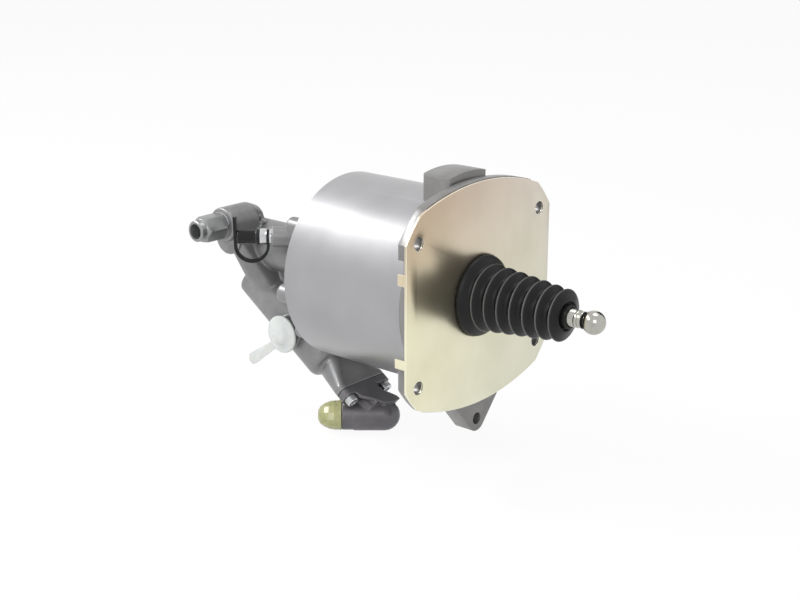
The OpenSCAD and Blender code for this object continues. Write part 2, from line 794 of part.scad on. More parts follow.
module poppet() {
    color("#b8a05a") on_valve(s_poppet) difference() {
        union() {
            translate([0, 0, rubber_t]) cylinder(r = poppet_r, h = poppet_t - rubber_t, $fn = 40);
            translate([0, 0, poppet_t - 0.5])
                cylinder(r = poppet_stem_r, h = s_guide - s_poppet - poppet_t + 3, $fn = 32);
        }
        translate([0, 0, -bite]) cylinder(r = 1, h = valve_step, $fn = 24);
    }
}

module poppet_rubber() {
    color("#1a1a1c") on_valve(s_poppet) ring(poppet_r, 1, rubber_t);
}

module poppet_guide() {
    color("#b8a05a") on_valve(s_guide) difference() {
        cylinder(r = supply_r - run, h = guide_t - 0.1, $fn = 48);
        translate([0, 0, -bite]) cylinder(r = poppet_stem_r + run, h = guide_t + 2 * bite, $fn = 32);
        for (a = [30 : 60 : 330]) rotate(a) translate([5, 0, -bite])
            cylinder(r = 1.2, h = guide_t + 2 * bite, $fn = 24);
    }
}

module reaction_piston() {
    end = stub_start - reaction_start;
    r = reaction_r - run;
    groove = reaction_groove;
    color("#a9abae") on_valve(reaction_start) rotate_extrude($fn = 48) polygon([[0, 0], [r / 2, 0],
        [r / 2, 3], [r, 4], [r, groove[0]], [r - 2, groove[0]], [r - 2, groove[1]], [r, groove[1]],
        [r, end - 8], [0.7 * r, end - 6], [0.7 * r, end], [0, end]]);
}

module reaction_seal() {
    color("#1a1a1c") on_valve(reaction_start + (reaction_groove[0] + reaction_groove[1]) / 2)
        oring(reaction_r - 1.02, 0.95);
}

module exhaust_tube() {
    tip = s_poppet - valve_lead - stub_start;
    low = control_head[0] - stub_start;
    high = control_head[1] - stub_start;
    r = chamber_r - run;
    lip = head_len / 4;
    color("#a9abae") on_valve(stub_start) difference() {
        rotate_extrude($fn = 48) polygon([[0, 0], [chamber_r / 2, 0], [chamber_r / 2, low], [r, low],
            [r, low + lip], [r - 2, low + lip], [r - 2, high - lip], [r, high - lip],
            [r, high], [stem_r, high], [stem_r, tip], [0, tip]]);
        translate([0, 0, 3]) cylinder(r = stem_bore_r, h = valve_len, $fn = 32);
        translate([0, 0, 5]) rotate([90, 0, 0])
            cylinder(r = 1.5, h = 2 * chamber_r, center = true, $fn = 24);
    }
}

module control_seal() {
    color("#1a1a1c") on_valve((control_head[0] + control_head[1]) / 2) oring(chamber_r - 1.02, 0.95);
}

// Air inlet elbow, cut flat where it meets the gasket

module elbow_body() {
    on_elbow() {
        rotate_extrude($fn = 64) polygon(concat(
            [[0, elbow_half], [elbow_r - 1.1, elbow_half], [elbow_r - 0.5, elbow_half - 0.6],
                [elbow_r - 0.5, elbow_half - 8], [elbow_r, elbow_half - 8.5]],
            [for (a = [0 : 15 : 90]) [elbow_r * cos(a), elbow_r - elbow_half - elbow_r * sin(a)]]));
    }
    on_valve(s_flange) linear_extrude(inlet_flange_t) inlet_ears_2d(inlet_face_r);
    on_valve(s_flange) cylinder(r = elbow_r - 1.5, h = s_elbow - s_flange, $fn = 48);
    elbow_wing();
}

// A flat wing in line with the top of the flange, running out to a point above the closed end
module elbow_wing() {
    on_valve(0) translate([wing_t - wing_w, 0, 0]) rotate([0, -90, 0]) linear_extrude(wing_t)
        polygon([[s_flange, -inlet_screw_y], [s_flange, 5], [s_flange + 11, wing_tip_y / 2],
            [wing_end - 3, wing_tip_y - 0.5], [wing_end, wing_tip_y], [wing_end + 0.5, wing_tip_y - 4],
            [wing_end - 1, 2], [s_elbow - 3, -5], [s_flange + inlet_flange_t + 4, -13]]);
    // rib under the wing, down into the elbow
    on_valve(s_flange) translate([-wing_w + 1, -4, 0]) cube([wing_w, 8, s_elbow - s_flange]);
}

module air_inlet_housing() {
    color("#6b6a6c") difference() {
        elbow_body();
        on_valve(s_flange - cyl_len / 2) cube([2 * cyl_len, 2 * cyl_len, cyl_len], center = true);
        on_elbow() translate([0, 0, elbow_half - air_port_depth])
            cylinder(r = air_port_r, h = air_port_depth + bite, $fn = 48);
        on_valve(s_flange - bite) cylinder(r = inlet_way_r, h = s_elbow - s_flange + bite, $fn = 40);
        on_elbow() translate([0, 0, -bite])
            cylinder(r = inlet_way_r, h = elbow_half - air_port_depth + 2 * bite, $fn = 40);
        inlet_screw_places(s_flange - bite)
            cylinder(r = inlet_screw_d / 2 + bolt_ease, h = inlet_flange_t + 2 * bite, $fn = 32);
        inlet_screw_places(s_flange + inlet_flange_t)
            cylinder(r = 0.85 * inlet_screw_d + head_ease, h = elbow_half, $fn = 32);
    }
}

module air_inlet_gasket() {
    color("#3d3f42") on_valve(valve_len) linear_extrude(gasket_t) difference() {
        inlet_ears_2d(inlet_face_r);
        circle(r = supply_r, $fn = 40);
        for (y = [-1, 1]) translate([-inlet_screw_w, y * inlet_screw_y])
            circle(r = inlet_screw_d / 2 + bolt_ease, $fn = 32);
    }
}

module air_inlet_screws() {
    color("#c9cacc") inlet_screw_places(s_flange + inlet_flange_t)
        socket_screw(inlet_screw_d, inlet_flange_t + gasket_t + inlet_thread_len - bite);
}

// Moving air piston with the plunger and the pushrod

module power_piston() {
    r = piston_r;
    color("#a5a7aa") on_x(x_piston) rotate_extrude($fn = 128) polygon([
        [spigot_pin_r + run, 0], [r - 1, 0], [r, 1],
        [r, seal_groove[0]], [r - seal_groove_depth, seal_groove[0]],
        [r - seal_groove_depth, seal_groove[1]], [r, seal_groove[1]],
        [r, guide_groove[0]], [r - guide_groove_depth, guide_groove[0]],
        [r - guide_groove_depth, guide_groove[1]], [r, guide_groove[1]],
        [r, piston_len], [r - rim_wall, piston_len], [r - rim_wall - 2, web_t + 3], [r - rim_wall - 5, web_t],
        [hub_r + 3, web_t], [hub_r, web_t + 3], [hub_r, hub_len], [spigot_pin_r + run, hub_len]]);
}

module piston_seal() {
    color("#232326") on_x(x_piston + seal_groove[0] + 0.2) difference() {
        ring(bore_r - run, piston_r - seal_groove_depth + run, seal_groove[1] - seal_groove[0] - 0.4);
        translate([0, 0, -bite]) ring(bore_r - 1.4, bore_r - 3, 2 + bite);
    }
}

module piston_guide_ring() {
    color("#3c4a44") on_x(x_piston + guide_groove[0] + 0.1)
        ring(bore_r - run, piston_r - guide_groove_depth + run, guide_groove[1] - guide_groove[0] - 0.2);
}

module plunger() {
    pin = spigot_pin_len;
    back = -plunger_back;
    color("#c4c6c9") on_x(x_piston) difference() {
        rotate_extrude($fn = 64) polygon([[0, back], [plunger_r - 1.5, back], [plunger_r, back + 1.5],
            [plunger_r, 0], [spigot_pin_r, 0], [spigot_pin_r, clip_x], [spigot_pin_r - 1, clip_x],
            [spigot_pin_r - 1, clip_x + clip_t + 0.1], [spigot_pin_r, clip_x + clip_t + 0.1],
            [spigot_pin_r, pin - 0.5], [spigot_pin_r - 0.5, pin], [0, pin]]);
        translate([0, 0, pin - socket_depth])
            cylinder(r = socket_r + slip, h = socket_depth + bite, $fn = 48);
        translate([0, 0, pin - 3]) cylinder(r = socket_r + 0.8, h = clip_t + 0.1, $fn = 48);
    }
}

module plunger_circlip() {
    color("#7d7f83") on_x(x_piston + clip_x) circlip(spigot_pin_r + 2, spigot_pin_r - 0.9, clip_t);
}

module pushrod() {
    rod_r = rod_d / 2;
    foot_x = x_piston + spigot_pin_len - socket_depth;
    span = ball_x - foot_x;
    ball_r = ball_d / 2;
    join = sqrt(ball_r * ball_r - rod_neck_r * rod_neck_r);
    color("#cfd0d2") on_x(foot_x) union() {
        rotate_extrude($fn = 64) polygon(concat(
            [for (a = [0 : 15 : 90]) [socket_r * sin(a), socket_r - socket_r * cos(a)]],
            [[socket_r, socket_r + 2], [rod_r, socket_r + 2.6], [rod_r, span - 14],
                [rod_r - 0.6, span - 13.4], [rod_r - 0.6, span - 12], [rod_neck_r, span - 11],
                [rod_neck_r, span - ring_back - 1], [rod_neck_r - 0.8, span - ring_back - 1],
                [rod_neck_r - 0.8, span - ring_back + 1], [rod_neck_r, span - ring_back + 1],
                [rod_neck_r, span - join + 0.5], [0, span - join + 0.5]]));
        translate([0, 0, span]) sphere(r = ball_r, $fn = 64);
    }
}

module rod_ring() {
    color("#151517") on_x(ball_x - ring_back) oring(rod_neck_r + 0.12, ring_wire_r);
}

module pushrod_clip() {
    color("#7d7f83") on_x(x_piston + spigot_pin_len - 2.95)
        circlip(socket_r + 0.7, rod_d / 2 + 0.2, clip_t - 0.1);
}

// Bleed screw, its cap and strap

module bleed_screw() {
    color("#c6c7c9") on_bleed(bleed_boss_len) difference() {
        union() {
            translate([0, 0, -bleed_bore_len + 1]) rotate_extrude($fn = 40) polygon([[0, 0], [1.2, 0],
                [bleed_bore_r - run, 3], [bleed_bore_r - run, bleed_bore_len], [0, bleed_bore_len]]);
            translate([0, 0, ease]) cylinder(r = 5, h = screw_flange_t - ease, $fn = 48);
            cylinder(r = screw_neck_r, h = hex_start + 0.5, $fn = 40);
            translate([0, 0, hex_start]) cylinder(r = hex_af / 2 / cos(30), h = hex_len, $fn = 6);
            cylinder(r = nipple_r - 0.6, h = nipple_len + 4, $fn = 40);
            translate([0, 0, nipple_len + 2]) cylinder(r1 = nipple_r, r2 = nipple_r - 1.2, h = 4, $fn = 40);
        }
        translate([0, 0, -bleed_bore_len + 6]) cylinder(r = 1, h = 40, $fn = 24);
        translate([0, 0, bleed_bore_len / -2]) rotate([90, 0, 0])
            cylinder(r = 0.8, h = 3 * bleed_bore_r, center = true, $fn = 24);
    }
}

module bleeder_cap() {
    color("#161618") on_bleed(bleed_boss_len + cap_start) difference() {
        rotate_extrude($fn = 48) polygon([[0, 0], [cap_r - 0.4, 0], [cap_r, 0.4], [cap_r, 2],
            [cap_r - 0.5, 2.6], [cap_r - 0.5, cap_len - 1], [cap_r - 1.5, cap_len], [0, cap_len]]);
        translate([0, 0, -bite]) cylinder(r = nipple_r + ease, h = cap_len - 3, $fn = 40);
    }
}

// The strap hangs below the screw: a ring on the screw's neck, a half loop and a tab at the cap's tip
module cap_strap() {
    mid = strap_start + strap_t / 2 + strap_r;
    color("#161618") on_bleed(bleed_boss_len) {
        translate([0, 0, strap_start]) difference() {
            union() {
                cylinder(r = screw_neck_r + 1.6, h = strap_ring_t, $fn = 48);
                translate([0, -strap_w / 2, 0]) cube([strap_drop + 0.5, strap_w, strap_ring_t]);
            }
            translate([0, 0, -bite]) cylinder(r = screw_neck_r + ease, h = strap_ring_t + 2 * bite, $fn = 40);
        }
        translate([strap_drop, 0, mid]) rotate([90, 0, 0]) rotate([0, 0, -90])
            translate([0, 0, -strap_w / 2]) rotate_extrude(angle = 180, $fn = 64)
                translate([strap_r - strap_t / 2, 0]) square([strap_t, strap_w]);
        translate([-strap_tab, -strap_w / 2, mid + strap_r - strap_t / 2])
            cube([strap_tab + strap_drop + 0.01, strap_w, strap_t]);
    }
}

// Transport plugs

module inlet_plug() {
    r = inlet_plug_r;
    n = inlet_plug_len;
    color("#d6d8a0") on_elbow() translate([0, 0, elbow_half + run]) union() {
        translate([0, 0, -inlet_shank_len])
            cylinder(r = air_port_r - slip, h = inlet_shank_len + 1, $fn = 48);
        cylinder(r = r, h = 0.1 * n, $fn = 48);
        rotate_extrude($fn = 12) polygon([[0, 0.05 * n], [0.98 * r, 0.05 * n], [0.98 * r, 0.3 * n],
            [0.92 * r, 0.52 * n], [0.76 * r, 0.76 * n], [0.56 * r, 0.92 * n], [0.34 * r, n], [0, n]]);
    }
}

module exhaust_plug() {
    r = plug_disc_r;
    color("#e9ebea") on_exhaust(run) union() {
        translate([0, 0, 1 - plug_shank_len])
            cylinder(r = exhaust_bore_r - slip, h = plug_shank_len, $fn = 48);
        rotate_extrude($fn = 64) polygon([[0, 0], [r - 0.4, 0], [r, 0.4], [r, 1.4], [0.95 * r, 2],
            [0.8 * r, 2.2], [0.6 * r, 0.22 * r], [0.45 * r, 0.32 * r], [0.25 * r, 0.38 * r], [0, 0.4 * r]]);
        rotate(pull_turn) linear_extrude(pull_t) hull() for (x = [r - 4, r + pull_len - pull_w / 2])
            translate([x, pull_shift]) circle(d = pull_w, $fn = 32);
    }
}

cylinder_housing();
cover_plate();
bellows();
rear_housing();
rear_screws();
rear_oring();
plunger_bush();
plunger_seal();
plunger_wiper();
seal_circlip();
inlet_fitting();
fitting_washer();
return_spring();
spool_spring();
valve_seat();
seat_oring();
poppet_spring();
poppet_guide();
air_inlet_housing();
air_inlet_gasket();
air_inlet_screws();
cap_strap();
power_piston();
piston_seal();
piston_guide_ring();
plunger();
plunger_circlip();
pushrod();
pushrod_clip();
rod_ring();
reaction_piston();
reaction_seal();
exhaust_tube();
control_seal();
poppet();
poppet_rubber();
bleed_screw();
bleeder_cap();
inlet_plug();
exhaust_plug();
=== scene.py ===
# %% [markdown]
# # A clutch servo
# This lesson dresses a clutch servo: a turned aluminium cylinder with a zinc-plated cover, a rubber
# bellows round a polished pushrod, and behind it a rough casting with the ports and the control valve.
# The CAD model is the fixed frame. Every piece here either copies a CAD solid and works on its surface,
# or is shaped anew in the place that the frame gives.

# %% Load the frame and note the CAD box
import json
import math

import bpy
from mathutils import Matrix, Vector
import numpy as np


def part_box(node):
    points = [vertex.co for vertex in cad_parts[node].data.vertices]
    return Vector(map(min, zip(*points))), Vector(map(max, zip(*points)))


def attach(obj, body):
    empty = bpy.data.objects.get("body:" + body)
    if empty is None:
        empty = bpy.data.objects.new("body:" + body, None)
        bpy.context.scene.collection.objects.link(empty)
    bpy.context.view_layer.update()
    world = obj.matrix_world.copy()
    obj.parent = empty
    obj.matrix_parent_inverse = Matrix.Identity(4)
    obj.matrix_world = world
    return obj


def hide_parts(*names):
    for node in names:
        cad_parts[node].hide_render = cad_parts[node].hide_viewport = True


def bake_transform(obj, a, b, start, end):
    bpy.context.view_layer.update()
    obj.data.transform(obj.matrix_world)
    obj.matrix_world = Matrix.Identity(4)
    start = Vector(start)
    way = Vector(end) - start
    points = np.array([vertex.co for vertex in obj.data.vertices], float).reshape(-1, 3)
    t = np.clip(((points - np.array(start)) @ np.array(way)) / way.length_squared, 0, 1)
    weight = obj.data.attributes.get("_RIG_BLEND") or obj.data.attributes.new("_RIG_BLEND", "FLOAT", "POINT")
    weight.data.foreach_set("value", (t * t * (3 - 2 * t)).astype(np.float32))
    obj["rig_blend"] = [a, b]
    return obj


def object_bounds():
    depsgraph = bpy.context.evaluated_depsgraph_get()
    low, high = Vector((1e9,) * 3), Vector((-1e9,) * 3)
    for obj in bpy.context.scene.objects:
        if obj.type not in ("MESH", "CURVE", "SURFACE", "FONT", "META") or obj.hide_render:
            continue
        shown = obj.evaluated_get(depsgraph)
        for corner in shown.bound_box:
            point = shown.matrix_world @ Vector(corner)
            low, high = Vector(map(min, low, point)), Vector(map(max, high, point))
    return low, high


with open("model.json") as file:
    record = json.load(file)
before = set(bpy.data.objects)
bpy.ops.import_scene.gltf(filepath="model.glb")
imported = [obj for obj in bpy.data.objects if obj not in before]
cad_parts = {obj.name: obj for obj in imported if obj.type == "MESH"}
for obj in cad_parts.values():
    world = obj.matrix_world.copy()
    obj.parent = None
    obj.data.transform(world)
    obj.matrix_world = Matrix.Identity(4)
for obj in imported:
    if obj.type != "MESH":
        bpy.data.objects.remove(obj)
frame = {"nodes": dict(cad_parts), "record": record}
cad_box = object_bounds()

MM = 0.001
nodes = frame["nodes"]
body_of_node = {node: body for body, members in frame["record"]["behaviour"]["bodies"].items()
                for node in members}
print("nodes:", len(nodes), "box:", [tuple(round(c, 4) for c in p) for p in cad_box])

# %% [markdown]
# ## Selecting by code
# A Blender operator acts on whatever is selected, and the loader leaves everything selected.
# So one helper clears the selection and picks a single object, and each step starts with it.


# %% Selection helper
def only(obj):
    if bpy.context.object and bpy.context.object.mode != "OBJECT":
        bpy.ops.object.mode_set(mode="OBJECT")
    bpy.ops.object.select_all(action="DESELECT")
    obj.select_set(True)
    bpy.context.view_layer.objects.active = obj
    return obj


bpy.ops.object.select_all(action="DESELECT")
print("selected:", len(bpy.context.selected_objects))

# %% [markdown]
# ## Camera
# The camera stands where the photographer's stood: 41 degrees round from the front towards the pushrod,
# 17 degrees up, about 0.9 m away. The numbers come from fitting a pinhole camera to the bolt holes,
# the cylinder's rim and the ball. Aiming a camera by eye would be quicker, but then no edge would fall
# where the photograph has it. Depth of field stays off, so that every piece is sharp.

# %% Camera
IMAGE_W, IMAGE_H = 800, 600
SENSOR_MM = 36
FOCAL_PX, MIDDLE_X, MIDDLE_Y = 1455.09, 396.21, 300.49
eye = Vector((0.5296, -0.6893, 0.2677))
right = Vector((0.7545, 0.6563, 0.0))
up = Vector((-0.1958, 0.2251, 0.9544))
back = right.cross(up)
camera_data = bpy.data.cameras.new("photo_camera")
camera_data.sensor_width = SENSOR_MM
camera_data.lens = SENSOR_MM * FOCAL_PX / IMAGE_W
camera_data.shift_x = (IMAGE_W / 2 - MIDDLE_X) / IMAGE_W
camera_data.shift_y = (MIDDLE_Y - IMAGE_H / 2) / IMAGE_W
camera_data.clip_start = 0.01
camera = bpy.data.objects.new("photo_camera", camera_data)
camera.matrix_world = Matrix((
    (right.x, up.x, back.x, eye.x),
    (right.y, up.y, back.y, eye.y),
    (right.z, up.z, back.z, eye.z),
    (0, 0, 0, 1),
))
bpy.context.scene.collection.objects.link(camera)
bpy.context.scene.camera = camera
print("lens", round(camera_data.lens, 2), "mm")

# %% [markdown]
# ## Colour and nodes
# Colours are written as the hex values that a painter would read off a screen, and one function turns
# them into the linear values that the renderer works with. One more adds a node with its settings and
# links, for the world as well as for a material, so that each material below reads as a short list.


# %% Colour
def hex_colour(code):
    values = [int(code[i:i + 2], 16) / 255 for i in (1, 3, 5)]
    return [v / 12.92 if v <= 0.04045 else ((v + 0.055) / 1.055) ** 2.4 for v in values] + [1.0]


def grey(value):
    return (value, value, value, 1)


def per_mm(size):
    """The noise scale whose largest features are about this many millimetres."""
    return 1 / (size * MM)


print("middle grey is", round(hex_colour("#808080")[0], 3), "in linear light")

# %% [markdown]
# A Mix node that mixes colours keeps its two colours at inputs 6 and 7 and its result at output 2,
# because its other sockets belong to numbers and vectors. Names for them are easier to read.


# %% Nodes
SHARE, UNDER, OVER, MIXED = 0, 6, 7, 2


def feed(owner, node, links):
    """Links each socket to the input of the node that its key names."""
    for key, socket in links.items():
        owner.node_tree.links.new(socket, node.inputs[key])


def add(owner, kind, settings=None, links=None, stops=()):
    """Adds a node. Settings name its properties or inputs, stops are a colour ramp's places and colours."""
    node = owner.node_tree.nodes.new("ShaderNode" + kind)
    for key, value in (settings or {}).items():
        if isinstance(key, str) and hasattr(node, key):
            setattr(node, key, value)
        else:
            node.inputs[key].default_value = value
    feed(owner, node, links or {})
    if stops:
        band = node.color_ramp.elements
        band[0].position, band[0].color = stops[0]
        band[1].position, band[1].color = stops[-1]
        for position, colour in stops[1:-1]:
            band.new(position).color = colour
    return node


def new_material(name, **shader):
    mat = bpy.data.materials.new(name)
    mat.use_nodes = True
    bsdf = mat.node_tree.nodes["Principled BSDF"]
    for key, value in shader.items():
        bsdf.inputs[key.replace("_", " ")].default_value = value
    return mat, bsdf


print("node helpers ready")

# %% [markdown]
# ## Die-cast aluminium
# The rear casting, the elbow and the flange are pressure die-cast and shot-blasted. That leaves a dull
# grey skin with a grain of a few tenths of a millimetre, and edges that tumbling has rubbed. Those
# edges are painted brighter, partly for the wear and partly as a painted highlight. A flat grey would
# look like plastic, so a slow noise clouds the tint, a fine one makes the grain, and an attribute named
# wear_and_highlight, which each piece gets with its shape, says where the edges are rubbed and carry
# the painted highlight.
# The grain is drawn at 0.7 mm, coarser than life, so that it shows.


# %% Cast materials
CAST_CLOUD, CAST_GRAIN = 14, 0.7


def cast_metal(name, colour, dark, light, rubbed_and_highlit, roughness, metallic):
    mat, bsdf = new_material(name, Metallic=metallic, Roughness=roughness)
    spot = add(mat, "TexCoord").outputs["Object"]
    cloud = add(mat, "TexNoise", {"Scale": per_mm(CAST_CLOUD), "Detail": 4.0, "Roughness": 0.55},
                {"Vector": spot})
    skin = add(mat, "ValToRGB", links={"Fac": cloud.outputs["Fac"]},
               stops=[(0.30, hex_colour(dark)), (0.52, hex_colour(colour)), (0.75, hex_colour(light))])
    # This mix paints convex corners and bevel strips lighter: partly wear, partly a painted highlight.
    wear_and_highlight = add(mat, "Attribute", {"attribute_name": "wear_and_highlight"})
    mixed = add(mat, "Mix", {"data_type": "RGBA", OVER: hex_colour(rubbed_and_highlit)},
                {SHARE: wear_and_highlight.outputs["Fac"], UNDER: skin.outputs["Color"]})
    sand = add(mat, "TexNoise", {"Scale": per_mm(CAST_GRAIN), "Detail": 3.0, "Roughness": 0.6},
               {"Vector": spot})
    rough = add(mat, "ValToRGB", links={"Fac": sand.outputs["Fac"]},
                stops=[(0.3, grey(roughness - 0.06)), (0.7, grey(roughness + 0.08))])
    relief = add(mat, "Bump", {"Strength": 0.10, "Distance": 0.25 * MM}, {"Height": sand.outputs["Fac"]})
    feed(mat, bsdf, {"Base Color": mixed.outputs[MIXED], "Roughness": rough.outputs["Color"],
                     "Normal": relief.outputs["Normal"]})
    return mat


# Clean die-cast skin: a mid grey with soft, wide lights along each rounded form. Its convex corners are
# painted lighter, partly for wear and partly as a painted highlight.
casting_grey = cast_metal("die_cast_aluminium", "#868687", "#7d7d7d", "#8f8f90", "#b6b6b7", 0.36, 0.5)
# The elbow is another casting with an older, darker skin, so it parts from the valve barrel above it.
casting_dark = cast_metal("dull_die_cast_aluminium", "#69676a", "#605e61", "#737173", "#8d8b8d", 0.40, 0.5)
# The flange keeps its cast skin beside the turned barrel, and its edges are painted nearly white: a painted
# highlight.
casting_flange = cast_metal("as_cast_aluminium", "#868584", "#7d7c7b", "#8f8e8d", "#d8d7d6", 0.36, 0.55)
print(casting_grey.name, casting_dark.name, casting_flange.name)

# %% [markdown]
# ## Turned aluminium
# The cylinder is a cast blank turned on a lathe and left satin. Its surface has faint rings round the
# axis from the tool's feed, so that highlights run out softly. Anisotropy could give the same light,
# but here the rings are drawn in the relief. The real feed is a few tenths of a millimetre and can't
# show, so the rings are drawn 4.74 mm apart. A wave texture's bands are 2 pi / (20 x scale) apart, and
# that gives the scale.

# %% Turned aluminium
RING_PITCH, SATIN_CLOUD, SATIN_GRAIN, SATIN = 4.74, 45, 0.5, 0.35
cylinder_satin, satin_bsdf = new_material("satin_turned_aluminium", Metallic=0.9, Roughness=SATIN)
spot = add(cylinder_satin, "TexCoord").outputs["Object"]
cloud = add(cylinder_satin, "TexNoise", {"Scale": per_mm(SATIN_CLOUD), "Detail": 3.0, "Roughness": 0.5},
            {"Vector": spot})
skin = add(cylinder_satin, "ValToRGB", links={"Fac": cloud.outputs["Fac"]},
           stops=[(0.3, hex_colour("#a2a2a4")), (0.5, hex_colour("#a8a8aa")), (0.72, hex_colour("#afafb1"))])
rings = add(cylinder_satin, "TexWave", {"bands_direction": "X", "Scale": 2 * math.pi / (20 * RING_PITCH * MM),
                                        "Distortion": 0.4, "Detail": 1.0}, {"Vector": spot})
fine = add(cylinder_satin, "TexNoise", {"Scale": per_mm(SATIN_GRAIN), "Detail": 2.0}, {"Vector": spot})
both = add(cylinder_satin, "Math", {"operation": "ADD"}, {0: rings.outputs["Fac"], 1: fine.outputs["Fac"]})
relief = add(cylinder_satin, "Bump", {"Strength": 0.03, "Distance": 0.1 * MM}, {"Height": both.outputs[0]})
rough = add(cylinder_satin, "ValToRGB", links={"Fac": cloud.outputs["Fac"]},
            stops=[(0.3, grey(SATIN - 0.03)), (0.7, grey(SATIN + 0.04))])
feed(cylinder_satin, satin_bsdf, {"Base Color": skin.outputs["Color"], "Roughness": rough.outputs["Color"],
                                  "Normal": relief.outputs["Normal"]})
print(cylinder_satin.name)

# %% [markdown]
# ## Yellow-chromated zinc
# The cover plate is zinc-plated sheet with a thin yellow chromate film. Its tint runs from a straw
# cream below to a darker, pinkish straw near the top, and to a cool grey on the far side. One ramp over
# the height gives the near tint, a second one the far tint, and the place across the plate mixes them.
# The sheet is bright enough to mirror the bellows as a soft dark shade.
# Rolling leaves a grain of a few hundredths of a millimetre, drawn at 0.6 mm so that it shows.

# %% Tint of the plated sheet
PLATE_REACH, PLATE_TOP, STAIN, SHEET_GRAIN = 0.07, 0.072, 30, 0.6
plate_mat, plate_bsdf = new_material("yellow_chromated_zinc", Metallic=0.92, Roughness=0.31)
spot = add(plate_mat, "TexCoord").outputs["Object"]
axes = add(plate_mat, "SeparateXYZ", links={"Vector": spot})
height = add(plate_mat, "MapRange", {"From Min": -PLATE_REACH, "From Max": PLATE_TOP},
             {"Value": axes.outputs["Z"]})
across = add(plate_mat, "MapRange", {"From Min": -PLATE_REACH, "From Max": PLATE_REACH},
             {"Value": axes.outputs["Y"]})
near_tint = add(plate_mat, "ValToRGB", links={"Fac": height.outputs[0]},
                stops=[(0.0, hex_colour("#f1efd6")), (0.45, hex_colour("#efebcf")),
                       (0.72, hex_colour("#d8c8ae")), (1.0, hex_colour("#bea58f"))])
far_tint = add(plate_mat, "ValToRGB", links={"Fac": height.outputs[0]},
               stops=[(0.0, hex_colour("#dedfd0")), (0.45, hex_colour("#dad8ca")),
                      (1.0, hex_colour("#e0d8d1"))])
film = add(plate_mat, "Mix", {"data_type": "RGBA"},
           {SHARE: across.outputs[0], UNDER: near_tint.outputs["Color"], OVER: far_tint.outputs["Color"]})
print("tints mixed over", round(2 * PLATE_REACH / MM), "mm")

# %% [markdown]
# Fingers and rinsing water leave faint stains some 30 mm wide, and the sheared edges are painted nearly white
# as a painted highlight.

# %% Stains and edges of the plated sheet
stain = add(plate_mat, "TexNoise", {"Scale": per_mm(STAIN), "Detail": 3.0, "Roughness": 0.5},
            {"Vector": spot})
veil = add(plate_mat, "ValToRGB", links={"Fac": stain.outputs["Fac"]},
           stops=[(0.35, hex_colour("#fffefa")), (0.7, hex_colour("#f6f5ee"))])
tinted = add(plate_mat, "Mix", {"data_type": "RGBA", "blend_type": "MULTIPLY", SHARE: 1.0},
             {UNDER: film.outputs[MIXED], OVER: veil.outputs["Color"]})
# The bevel strips along the sheet's edges are painted a pale cream: a painted highlight.
rubbed_and_highlit = add(plate_mat, "Attribute", {"attribute_name": "wear_and_highlight"})
edge_highlighted = add(plate_mat, "Mix", {"data_type": "RGBA", OVER: hex_colour("#fdfcec")},
            {SHARE: rubbed_and_highlit.outputs["Fac"], UNDER: tinted.outputs[MIXED]})
sheet_grain = add(plate_mat, "TexNoise", {"Scale": per_mm(SHEET_GRAIN), "Detail": 2.0}, {"Vector": spot})
relief = add(plate_mat, "Bump", {"Strength": 0.03, "Distance": 0.1 * MM},
             {"Height": sheet_grain.outputs["Fac"]})
feed(plate_mat, plate_bsdf, {"Base Color": edge_highlighted.outputs[MIXED], "Normal": relief.outputs["Normal"]})
print(plate_mat.name)

# %% [markdown]
# ## Steel, brass and bronze
# Screws are bright zinc-plated, the pipe fitting has a duller plate, and the ball rod is hardened
# steel, ground and polished. All of them get a tint that wanders a little and a fine grain that breaks
# the highlight. Their rounded edges are painted a little brighter than the faces, a painted highlight.
# One function serves all of them, because only colour, gloss and grain tell these metals apart. Their
# tool marks are hundredths of a millimetre wide and are drawn at 0.4 mm, the plating's clouds at 6 mm.


# %% Plain metals
METAL_CLOUD, METAL_GRAIN = 6, 0.4


def plain_metal(name, colour, shade, roughness, metallic=0.9, bump=0.03, edge=None):
    mat, bsdf = new_material(name, Metallic=metallic, Roughness=roughness)
    where = add(mat, "TexCoord").outputs["Object"]
    cloud = add(mat, "TexNoise", {"Scale": per_mm(METAL_CLOUD), "Detail": 3.0}, {"Vector": where})
    tint = add(mat, "ValToRGB", links={"Fac": cloud.outputs["Fac"]},
               stops=[(0.3, hex_colour(shade)), (0.7, hex_colour(colour))])
    # Edges take the lighter edge colour: a painted highlight.
    wear_and_highlight = add(mat, "Attribute", {"attribute_name": "wear_and_highlight"})
    mixed = add(mat, "Mix", {"data_type": "RGBA", OVER: hex_colour(edge or colour)},
                {SHARE: wear_and_highlight.outputs["Fac"], UNDER: tint.outputs["Color"]})
    dust = add(mat, "TexNoise", {"Scale": per_mm(METAL_GRAIN), "Detail": 2.0}, {"Vector": where})
    relief = add(mat, "Bump", {"Strength": bump, "Distance": 0.1 * MM}, {"Height": dust.outputs["Fac"]})
    feed(mat, bsdf, {"Base Color": mixed.outputs[MIXED], "Normal": relief.outputs["Normal"]})
    return mat


# Bright zinc on screws and nipple is plated over smooth steel: small, clear glints on every flat.
bright_zinc = plain_metal("bright_zinc_plate", "#d4d5d6", "#b8b9bb", 0.18, edge="#eeeff0")
# The pipe fitting is barrel-plated among other parts: scuffed, so its lights are wide and soft.
fitting_zinc = plain_metal("dull_zinc_plated_steel", "#989999", "#8c8d8d", 0.34, metallic=0.8,
                           edge="#a6a7a8")
# The ball is ground and polished to run in a cup: nearly a mirror, a shade warmer than zinc.
polished_steel = plain_metal("ground_polished_steel", "#bab9b2", "#a9a8a0", 0.17, metallic=1.0, bump=0.012,
                           edge="#c9c8c2")
# Spring wire is phosphated against rust: dark grey and nearly matt.
spring_steel = plain_metal("phosphated_spring_steel", "#717377", "#5f6165", 0.45, metallic=0.7)
